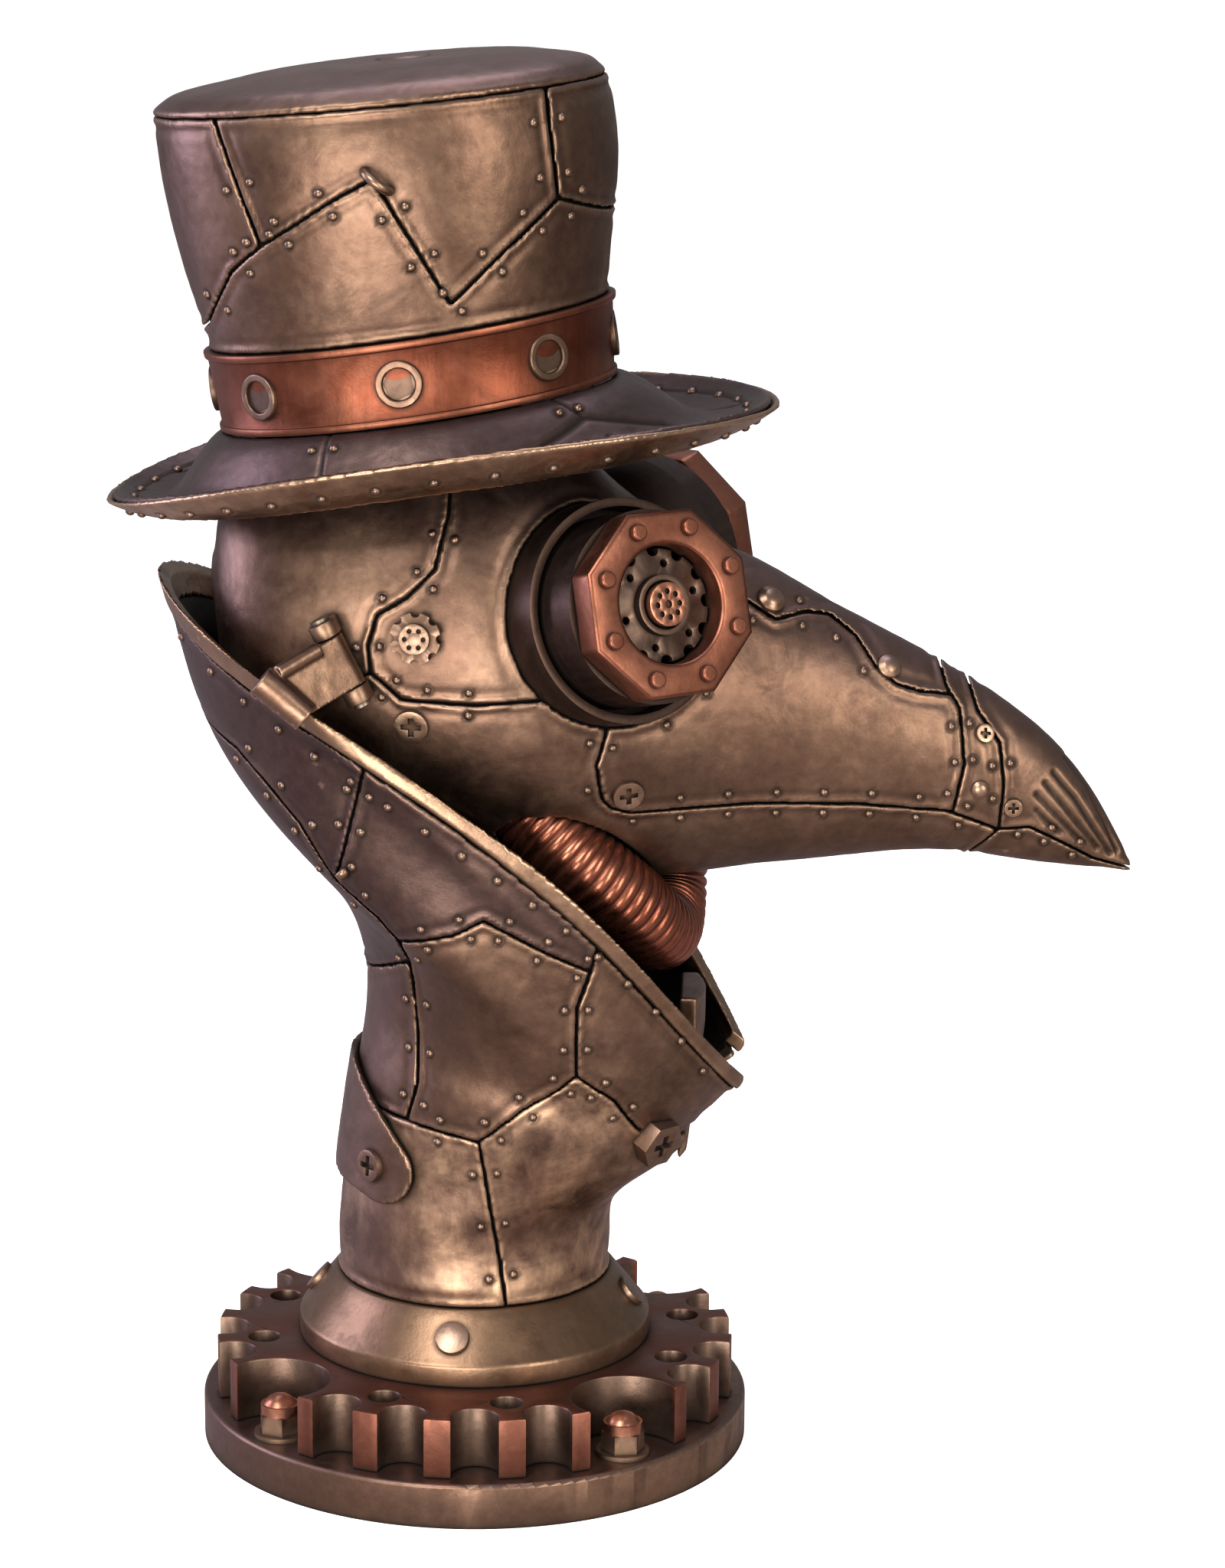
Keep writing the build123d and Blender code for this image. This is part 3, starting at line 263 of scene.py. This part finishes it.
def remeshed(node, voxel):
    # the CAD node's surface as an even mesh of small quads
    work = bpy.data.objects.new("work", NODES[node].data.copy())
    bpy.context.scene.collection.objects.link(work)
    weld = work.modifiers.new("weld", "WELD")
    weld.merge_threshold = 1e-6
    voxels = work.modifiers.new("voxels", "REMESH")
    voxels.mode = "VOXEL"
    voxels.voxel_size = voxel
    wrap = work.modifiers.new("wrap", "SHRINKWRAP")
    wrap.target = NODES[node]
    smooth = work.modifiers.new("smooth", "SMOOTH")
    smooth.iterations = 3
    smooth.factor = 0.5
    mesh = evaluated_copy(work)
    bpy.data.objects.remove(work)
    return mesh


def arrays(mesh):
    co = np.zeros(len(mesh.vertices) * 3)
    mesh.vertices.foreach_get("co", co)
    normal = np.zeros(len(mesh.vertices) * 3)
    mesh.vertices.foreach_get("normal", normal)
    return co.reshape(-1, 3), normal.reshape(-1, 3)


def smoothstep(low, high, value):
    t = np.clip((value - low) / (high - low), 0, 1)
    return t * t * (3 - 2 * t)


def distances(tree, points, reach):
    far = reach
    out = np.full(len(points), far)
    for index, point in enumerate(points):
        hit = tree.find_nearest(Vector(point), reach)
        if hit[0] is not None:
            out[index] = hit[3]
    return out


def field(points, scale, seed):
    # smooth random field about -1 to 1
    shift = Vector((seed * 7.13, seed * 3.71, seed * 5.37))
    return np.array([noise.noise(Vector(p) * scale + shift) for p in points])


def groove(points, lines, width):
    # how far each point lies inside a line engraved in the side view, 0 outside and 1 on the line
    depth = np.zeros(len(points))
    flat = points[:, [0, 2]] / MM
    for line in lines:
        for start, end in zip(line, line[1:]):
            a, b = np.array(start), np.array(end)
            along = np.clip(((flat - a) @ (b - a)) / ((b - a) @ (b - a)), 0, 1)
            gap = np.linalg.norm(flat - (a + along[:, None] * (b - a)), axis=1)
            depth = np.maximum(depth, np.exp(-((gap / width) ** 2)))
    return depth


def islands(mesh):
    parent = list(range(len(mesh.vertices)))

    def find(i):
        while parent[i] != i:
            parent[i] = parent[parent[i]]
            i = parent[i]
        return i

    welded = {}
    for vertex in mesh.vertices:
        key = tuple(round(c, 6) for c in vertex.co)
        if key in welded:
            parent[find(vertex.index)] = find(welded[key])
        else:
            welded[key] = vertex.index
    for polygon in mesh.polygons:
        first = find(polygon.vertices[0])
        for other in polygon.vertices[1:]:
            parent[find(other)] = first
    groups = {}
    for index in range(len(parent)):
        groups.setdefault(find(index), []).append(index)
    co = np.array([v.co[:] for v in mesh.vertices])
    return [np.unique(np.round(co[g], 6), axis=0) for g in groups.values()]


def shank_axis(points):
    # long axis of a shank with a narrow head, pointing to the head
    middle = points.mean(0)
    _, _, axes = np.linalg.svd(points - middle)
    axis = axes[0]
    along = (points - middle) @ axis
    spread = np.linalg.norm((points - middle) - along[:, None] * axis, axis=1)
    top = spread[along > along.max() - 1e-5].mean()
    bottom = spread[along < along.min() + 1e-5].mean()
    if top > bottom:
        axis = -axis
        along = -along
    tip = middle + axis * along.max()
    return tip, axis, spread.max()


RIVETS = {}
for rivet_node in ("neck_rivets", "mask_rivets", "crown_rivets", "brim_rivets"):
    RIVETS[rivet_node] = [shank_axis(points) for points in islands(NODES[rivet_node].data)]
RIVET_FEET = KDTree(sum(len(found) for found in RIVETS.values()))
for index, (tip, axis, size) in enumerate(place for found in RIVETS.values() for place in found):
    RIVET_FEET.insert(Vector(tip) - Vector(axis) * 0.8 * MM, index)
RIVET_FEET.balance()
HAT_TILT = math.radians(8.5)
HAT_AT = (-11.5, 0.0, 225.5)
BRIM_FRONT, BRIM_BACK, BRIM_SIDE = 71.8, 65.5, 55.0
BRIM_SEAMS = [
    [(112, 0), (111, 0.42), (116, 0.84)], [(111, 0.42), (132, 0.56), (158, 0.84)],
    [(46, 0), (44, 0.27)], [(44, 0.27), (70, 0.47), (86, 0.62)], [(44, 0.27), (22, 0.46), (8, 0.84)],
]


def set_wash(mesh, amount):
    layer = mesh.attributes.new("wash", "FLOAT", "POINT")
    layer.data.foreach_set("value", np.clip(amount, 0, 1).astype(np.float32))


def rivet_shadow(points):
    # dark ring of old wash round each rivet foot
    ring = np.zeros(len(points))
    for index, point in enumerate(points):
        gap = RIVET_FEET.find(Vector(point))[2] / MM
        if gap < 3.0:
            ring[index] = 0.85 * math.exp(-(((gap - 1.15) / 0.42) ** 2))
    return ring


def hat_frame(points):
    # turn in degrees and share (0 crown, 1 edge) of points on the brim
    local = points / MM - np.array(HAT_AT)
    ahead = local @ np.array([math.cos(HAT_TILT), 0, math.sin(HAT_TILT)])
    side = local[:, 1]
    low, high = np.zeros(len(points)), np.full(len(points), 1.3)
    for _ in range(22):
        share = (low + high) / 2
        long_axis = 40.4 + (np.where(ahead > 0, BRIM_FRONT, BRIM_BACK) - 40.4) * share
        wide_axis = 34.2 + (BRIM_SIDE - 34.2) * share
        outside = (ahead / long_axis) ** 2 + (side / wide_axis) ** 2 > 1
        low = np.where(outside, share, low)
        high = np.where(outside, high, share)
    turn = np.degrees(np.arctan2(side / wide_axis, ahead / long_axis))
    return turn, share


def brim_lines(points):
    # plate seams of the brim, drawn as turn and share, and the seam along the hem
    turn, share = hat_frame(points)
    turn = np.abs(turn)
    flat = np.stack([turn * 0.95, share * 26], 1)
    depth = 0.95 * np.exp(-(((share - 0.845) * 26 / 0.55) ** 2))
    for line in BRIM_SEAMS:
        for start, end in zip(line, line[1:]):
            a = np.array([start[0] * 0.95, start[1] * 26])
            b = np.array([end[0] * 0.95, end[1] * 26])
            along = np.clip(((flat - a) @ (b - a)) / ((b - a) @ (b - a)), 0, 1)
            gap = np.linalg.norm(flat - (a + along[:, None] * (b - a)), axis=1)
            depth = np.maximum(depth, np.exp(-((gap / 0.62) ** 2)))
    return depth


def hammered(name, node, neighbours, liner, material, seed, voxel=0.55, lip=0.32, dent=0.28, lines=None, on_brim=False):
    mesh = remeshed(node, voxel * MM)
    co, normal = arrays(mesh)
    outer = np.ones(len(co))
    if liner:
        outer = smoothstep(0.7 * MM, 1.4 * MM, distances(mesh_bvh([liner]), co, 2.5 * MM))
    push = np.zeros(len(co))
    if neighbours:
        gap = distances(mesh_bvh(neighbours), co, 6 * MM) / MM
        wave = 0.75 + 0.5 * field(co, 160, seed + 3)
        push += lip * np.exp(-(((gap - 0.95) / 0.55) ** 2)) * wave
        push -= 0.22 * np.exp(-(((gap - 2.4) / 1.0) ** 2))
    push += dent * field(co, 42, seed) + dent * 0.35 * field(co, 120, seed + 1) + 0.05 * field(co, 420, seed + 2)
    wash = rivet_shadow(co)
    if lines:
        cut = groove(co, lines, 0.5)
        push -= 0.6 * cut
        wash = np.maximum(wash, 0.9 * cut)
    if on_brim:
        cut = brim_lines(co)
        push -= 0.4 * cut
        wash = np.maximum(wash, cut)
    co = co + normal * (push * outer * MM)[:, None]
    mesh.vertices.foreach_set("co", co.ravel())
    mesh.update()
    mesh.shade_smooth()
    set_wash(mesh, wash * outer)
    return new_piece(name, mesh, node, material)


NECK_PLATES = [
    "neck_rear_panel", "neck_front_panel", "nape_panel", "neck_side_panels", "throat_side_panels",
    "collar_back_panel", "collar_nape_panel", "collar_side_panels",
]
HEAD_PLATES = [
    "skull_plate", "brow_plate", "jaw_plate", "beak_side_plates", "beak_bridge", "beak_band", "beak_tip", "beak_keel",
]
CROWN_PLATES = ["crown_back_panel", "crown_low_panels", "crown_front_panel", "crown_side_panels"]
TIP_LOUVRES = [
    [(123.8, 152.2), (128.4, 146.2), (132.3, 139.0), (135.3, 132.3)],
    [(121.3, 149.9), (126.1, 144.2), (130.0, 138.0), (133.9, 131.8)],
    [(119.5, 147.9), (123.8, 142.7), (127.7, 137.5), (131.1, 133.2)],
    [(117.7, 145.5), (122.0, 140.8), (125.9, 136.5), (127.8, 134.4)],
    [(117.8, 142.1), (120.2, 139.3), (122.9, 136.9)],
]

for group, liner, extra in (
    (NECK_PLATES, "neck_liner", ["collar_rim", "neck_flange"]),
    (HEAD_PLATES, "head_liner", ["goggle_cups"]),
    (CROWN_PLATES, "crown_liner", ["hat_band", "crown_lid"]),
):
    for index, node in enumerate(group):
        neighbours = [n for n in group if n != node] + extra
        material = BRONZE_DEEP if NODE_SLOT[node] == "bronze_brim" else BRONZE
        if node in ("neck_front_panel", "neck_rear_panel"):
            material = BRONZE_PATCHY
        if node == "collar_side_panels":
            material = BRONZE_DEEP
        fine = 0.45 if node in ("beak_tip", "beak_keel", "beak_band", "beak_bridge") else 0.74
        fine = 0.5 if node in ("collar_nape_panel", "collar_back_panel") else fine
        hammered(
            node + "_sheet", node, neighbours, liner, material, seed=index + len(group),
            voxel=fine, lip=0.12 if fine < 0.5 else 0.30, dent=0.12 if fine < 0.6 else 0.26, lines=TIP_LOUVRES if node == "beak_tip" else None,
        )

hammered("crown_lid_sheet", "crown_lid", ["crown_back_panel", "crown_side_panels", "crown_front_panel"], None, BRONZE, 31, 0.6, 0.2, 0.16)
hammered("brim_sheet", "brim_plates", None, None, BRONZE_DEEP, 33, 0.6, 0, 0.22, on_brim=True)
hammered("brim_hem_strip", "brim_hem", None, None, RIM_GOLD, 35, 0.52, 0, 0.25)
hammered("collar_rim_strip", "collar_rim", None, None, RIM_GOLD, 37, 0.45, 0, 0.28)
hammered("nape_tab_sheet", "nape_tab", None, None, BRONZE, 39, 0.6, 0, 0.18)
hammered("throat_strip", "throat_plate", None, None, BRONZE, 41, 0.6, 0, 0.15)
hammered("left_clasp_sheet", "left_clasp_hook", None, None, BRONZE_RUBBED, 43, 0.3, 0, 0.1)
hammered("right_clasp_sheet", "right_clasp_hook", None, None, BRONZE_RUBBED, 43, 0.3, 0, 0.1)


# ---------------------------------------------------------------- rivet heads
def surface_tree(pieces):
    vertices, polygons = [], []
    for piece in pieces:
        mesh = bpy.data.objects[piece].data
        co, _ = arrays(mesh)
        start = len(vertices)
        vertices.extend(map(tuple, co))
        polygons.extend([start + i for i in p.vertices] for p in mesh.polygons)
    return BVHTree.FromPolygons(vertices, polygons)


def dome(bm, foot, axis, radius, height, rings=4, sides=14):
    # a slightly uneven round head with a short skirt sunk below its foot
    turn = Vector(axis).to_track_quat("Z", "Y").to_matrix()
    wobble = [1 + random.uniform(-0.05, 0.05) for _ in range(sides)]
    loops = []
    for ring in range(-1, rings):
        if ring < 0:
            span, level = 1.0, -0.35 * radius
        else:
            angle = 0.5 * math.pi * ring / rings
            span, level = math.cos(angle), height * math.sin(angle)
        loop = []
        for side in range(sides):
            a = 2 * math.pi * side / sides
            local = Vector((math.cos(a) * radius * span * wobble[side], math.sin(a) * radius * span * wobble[side], level))
            loop.append(bm.verts.new(Vector(foot) + turn @ local))
        loops.append(loop)
    for low, high in zip(loops, loops[1:]):
        for side in range(sides):
            nxt = (side + 1) % sides
            bm.faces.new((low[side], low[nxt], high[nxt], high[side]))
    top = bm.verts.new(Vector(foot) + turn @ Vector((0, 0, height)))
    for side in range(sides):
        bm.faces.new((loops[-1][side], loops[-1][(side + 1) % sides], top))
    bm.faces.new(list(reversed(loops[0])))


def rivet_heads(name, node, sheets, material, scale=1.0):
    tree = surface_tree(sheets)
    bm = bmesh.new()
    for tip, axis, radius in RIVETS[node]:
        hit = tree.ray_cast(Vector(tip + axis * 3 * MM), Vector(-axis), 8 * MM)
        foot = Vector(tip) - Vector(axis) * 0.8 * MM if hit[0] is None else hit[0]
        size = radius * scale * random.uniform(0.92, 1.08)
        lean = Vector((random.uniform(-1, 1), random.uniform(-1, 1), random.uniform(-1, 1))) * 0.06
        dome(bm, foot, (Vector(axis) + lean).normalized(), size, size * random.uniform(0.72, 0.88))
    mesh = bpy.data.meshes.new(name)
    bm.normal_update()
    bm.to_mesh(mesh)
    bm.free()
    mesh.shade_smooth()
    return new_piece(name, mesh, node, material)


rivet_heads("neck_rivet_heads", "neck_rivets", [n + "_sheet" for n in NECK_PLATES], RIVET, 0.9)
rivet_heads("mask_rivet_heads", "mask_rivets", [n + "_sheet" for n in HEAD_PLATES], RIVET, 0.9)
rivet_heads("crown_rivet_heads", "crown_rivets", [n + "_sheet" for n in CROWN_PLATES], RIVET, 0.92)
rivet_heads("brim_rivet_heads", "brim_rivets", ["brim_sheet", "brim_hem_strip"], RIVET, 0.92)

# ---------------------------------------------------------------- ribbed hose
HOSE_POINTS = [
    (8, -19, 148), (17, -22, 139), (25, -22.5, 131.5), (33, -18, 123.5), (38, -9.5, 116),
    (40, 1, 113.5), (40.5, 9.5, 118), (40.5, 12.5, 127), (40, 12, 137),
]
HOSE_R = 8.6
RIB_PITCH = 2.45
RIB_DEPTH = 0.85


def spline(points, count):
    # cubic through the points with continuous curvature, sampled evenly
    p = np.array(points, float)
    t = np.concatenate([[0], np.cumsum(np.linalg.norm(np.diff(p, axis=0), axis=1))])
    n = len(p)
    h = np.diff(t)
    rows = np.zeros((n, n))
    right = np.zeros((n, 3))
    rows[0, 0] = rows[-1, -1] = 1
    for i in range(1, n - 1):
        rows[i, i - 1], rows[i, i], rows[i, i + 1] = h[i - 1], 2 * (h[i - 1] + h[i]), h[i]
        right[i] = 6 * ((p[i + 1] - p[i]) / h[i] - (p[i] - p[i - 1]) / h[i - 1])
    curve = np.linalg.solve(rows, right)
    where = np.linspace(0, t[-1], count)
    k = np.clip(np.searchsorted(t, where) - 1, 0, n - 2)
    a = ((t[k + 1] - where) / h[k])[:, None]
    b = ((where - t[k]) / h[k])[:, None]
    bend = ((a ** 3 - a) * curve[k] + (b ** 3 - b) * curve[k + 1]) * (h[k] ** 2)[:, None] / 6
    return a * p[k] + b * p[k + 1] + bend, t[-1]


def ribbed_hose(name, node, material):
    centre, length = spline(HOSE_POINTS, 360)
    bm = bmesh.new()
    loops = []
    sides = 40
    normal = Vector((0, 1, 0.3)).normalized()
    wash = []
    for index in range(len(centre)):
        ahead = Vector(centre[min(index + 1, len(centre) - 1)] - centre[max(index - 1, 0)]).normalized()
        normal = (normal - ahead * normal.dot(ahead)).normalized()
        across = ahead.cross(normal)
        phase = length * index / (len(centre) - 1) / RIB_PITCH
        swell = abs(math.sin(math.pi * phase)) ** 0.7
        radius = HOSE_R + 0.15 - RIB_DEPTH * (1 - swell)
        loop = []
        for side in range(sides):
            a = 2 * math.pi * side / sides
            spot = Vector(centre[index]) + (normal * math.cos(a) + across * math.sin(a)) * radius
            spot += ahead * 0.25 * noise.noise(spot * 0.12)
            loop.append(bm.verts.new(spot * MM))
            wash.append(0.9 * (1 - swell) ** 2)
        loops.append(loop)
    for low, high in zip(loops, loops[1:]):
        for side in range(sides):
            nxt = (side + 1) % sides
            bm.faces.new((low[side], low[nxt], high[nxt], high[side]))
    bm.faces.new(list(reversed(loops[0])))
    bm.faces.new(loops[-1])
    bm.normal_update()
    mesh = bpy.data.meshes.new(name)
    bm.to_mesh(mesh)
    bm.free()
    mesh.shade_smooth()
    set_wash(mesh, np.array(wash))
    return new_piece(name, mesh, node, material)


ribbed_hose("hose_ribs", "hose", COPPER_HOSE)

# ---------------------------------------------------------------- the rest of the CAD nodes
SOFT_EDGE = {
    "gear_ring": 0.45, "base_plate": 0.9, "neck_flange": 0.5, "goggle_bezels": 0.55, "goggle_cups": 0.35,
    "hat_band": 0.3, "neck_bolts": 0.35, "left_goggle_gear": 0.18, "right_goggle_gear": 0.18,
    "left_hub_cap": 0.2, "right_hub_cap": 0.2, "left_temple_knob": 0.22, "right_temple_knob": 0.22,
    "mask_screws": 0.2, "flange_studs": 0.2, "clasp_lugs": 0.25,
}
OWN_MATERIAL = {
    "base_plate": BASE_METAL, "neck_flange": FLANGE_METAL, "goggle_bezels": COPPER_BEZEL, "bezel_rivets": COPPER_BEZEL, "band_eyelets": BRONZE,
    "left_goggle_gear": GEAR_BRONZE, "right_goggle_gear": GEAR_BRONZE, "left_temple_knob": RIVET,
    "right_temple_knob": RIVET, "mask_screws": BRONZE_RUBBED, "neck_bolts": BRONZE,
}
DOME_FOOT = 14.7 * MM
EYELET_DISC = 2.9 * MM
eyelets = [sum((Vector(v) for v in points), Vector()) / len(points) for points in islands(NODES["band_eyelets"].data)]
ring_outside = max(v.co.xy.length for v in NODES["gear_ring"].data.vertices)
SECOND_METAL = {
    # under the dome: the nut; inside the eyelet: the disc; inside the slots: the walls
    "ring_dome_nuts": (BRONZE, lambda face: face.center.z < DOME_FOOT),
    "band_eyelets": (BRONZE_DARK, lambda face: min((face.center - e).length for e in eyelets) < EYELET_DISC),
    "gear_ring": (
        GEAR_BRONZE, lambda face: abs(face.normal.z) < 0.5 and face.center.xy.length < ring_outside - 0.5 * MM,
    ),
}
shown = [n for n, o in NODES.items() if not o.hide_render]
for node in shown:
    obj = NODES[node]
    dress(obj, OWN_MATERIAL.get(node, SLOT_MATERIAL[NODE_SLOT[node]]))
    obj.data.shade_smooth()
    weld = obj.modifiers.new("weld", "WELD")
    weld.merge_threshold = 1e-6
    if node in SECOND_METAL:
        second, belongs = SECOND_METAL[node]
        obj.data.materials.append(second)
        for polygon in obj.data.polygons:
            polygon.material_index = 1 if belongs(polygon) else 0
    if node in SOFT_EDGE:
        bevel = obj.modifiers.new("soft edge", "BEVEL")
        bevel.width = SOFT_EDGE[node] * MM
        bevel.segments = 2
        bevel.limit_method = "ANGLE"
        bevel.angle_limit = math.radians(38)
        bevel.harden_normals = False
    smooth = obj.modifiers.new("sharp where bent", "EDGE_SPLIT")
    smooth.split_angle = math.radians(40)


# ---------------------------------------------------------------- stage, light, camera
def studio_floor(name, colour, seen_glow):
    # pale to the camera, darker in the metal's reflections so that undersides stay deep
    material, tree = node_tree(name)
    coords = tree.nodes.new("ShaderNodeTexCoord").outputs["Object"]
    faint = ramp(tree, noise_value(tree, coords, 3, 2), ((0.3, tuple(c * 0.985 for c in colour)), (0.7, colour)))
    path = tree.nodes.new("ShaderNodeLightPath")
    shown = mix(tree, path.outputs["Is Camera Ray"], (0.30, 0.26, 0.26), faint)
    shader = tree.nodes.new("ShaderNodeBsdfPrincipled")
    shader.inputs["Roughness"].default_value = 0.7
    tree.links.new(shown, shader.inputs["Base Color"])
    tree.links.new(faint, shader.inputs["Emission Color"])
    glow = math_node(tree, "MULTIPLY", path.outputs["Is Camera Ray"], seen_glow)
    tree.links.new(glow, shader.inputs["Emission Strength"])
    output = tree.nodes.new("ShaderNodeOutputMaterial")
    tree.links.new(shader.outputs[0], output.inputs[0])
    return material


floor_mesh = bpy.data.meshes.new("floor")
floor_mesh.from_pydata([(-14, -14, 0), (14, -14, 0), (14, 14, 0), (-14, 14, 0)], [], [(0, 1, 2, 3)])
floor = bpy.data.objects.new("floor", floor_mesh)
bpy.context.scene.collection.objects.link(floor)
dress(floor, studio_floor("pale_floor", (0.93, 0.93, 0.94), 0.86))


def soft_light(name, place, target, size, power, colour=(1, 1, 1), tall=None):
    data = bpy.data.lights.new(name, "AREA")
    data.energy = power
    data.color = colour
    data.size = size
    if tall:
        data.shape = "RECTANGLE"
        data.size_y = tall
    light = bpy.data.objects.new(name, data)
    light.location = place
    light.rotation_euler = (Vector(target) - Vector(place)).to_track_quat("-Z", "Y").to_euler()
    bpy.context.scene.collection.objects.link(light)
    return light


AIM = (0.0, 0.0, 0.17)
soft_light("key", (-0.42, -0.9, 1.15), AIM, 0.42, 14.5, (1.0, 0.97, 0.92), 0.7)
soft_light("side", (0.75, -0.85, 0.42), AIM, 0.30, 6.5, (1.0, 0.93, 0.84), 0.75)
soft_light("back_left", (-1.0, 0.15, 0.45), AIM, 0.5, 8, (0.80, 0.76, 1.0), 0.8)
soft_light("top", (0.0, 0.25, 1.1), AIM, 0.7, 5, (0.90, 0.88, 1.0))
soft_light("low", (-0.12, -0.6, 0.09), (0.0, 0.0, 0.04), 0.4, 3.2, (1.0, 0.95, 0.9), 0.25)

world = bpy.data.worlds.new("studio")
bpy.context.scene.world = world
world.use_nodes = True
sky = world.node_tree
sky_path = sky.nodes.new("ShaderNodeLightPath")
strength = math_node(sky, "MULTIPLY", sky_path.outputs["Is Camera Ray"], 0.72)
strength = math_node(sky, "ADD", strength, 0.28)
sky.nodes["Background"].inputs["Color"].default_value = (1.0, 1.0, 1.0, 1)
sky.links.new(strength, sky.nodes["Background"].inputs["Strength"])

VIEW_TURN = math.radians(4.0)
VIEW_DOWN = math.radians(13.1)
VIEW_DISTANCE = 0.896
VIEW_HEIGHT = 0.3575
camera_data = bpy.data.cameras.new("camera")
camera_data.lens = 99.88
camera_data.sensor_width = 36
camera_data.shift_x = 0.0879
camera_data.shift_y = -0.0152
camera = bpy.data.objects.new("camera", camera_data)
camera.location = (VIEW_DISTANCE * math.sin(VIEW_TURN), -VIEW_DISTANCE * math.cos(VIEW_TURN), VIEW_HEIGHT)
camera.rotation_euler = (math.pi / 2 - VIEW_DOWN, 0, VIEW_TURN)
bpy.context.scene.collection.objects.link(camera)
bpy.context.scene.camera = camera
bpy.context.scene.view_settings.view_transform = "Standard"
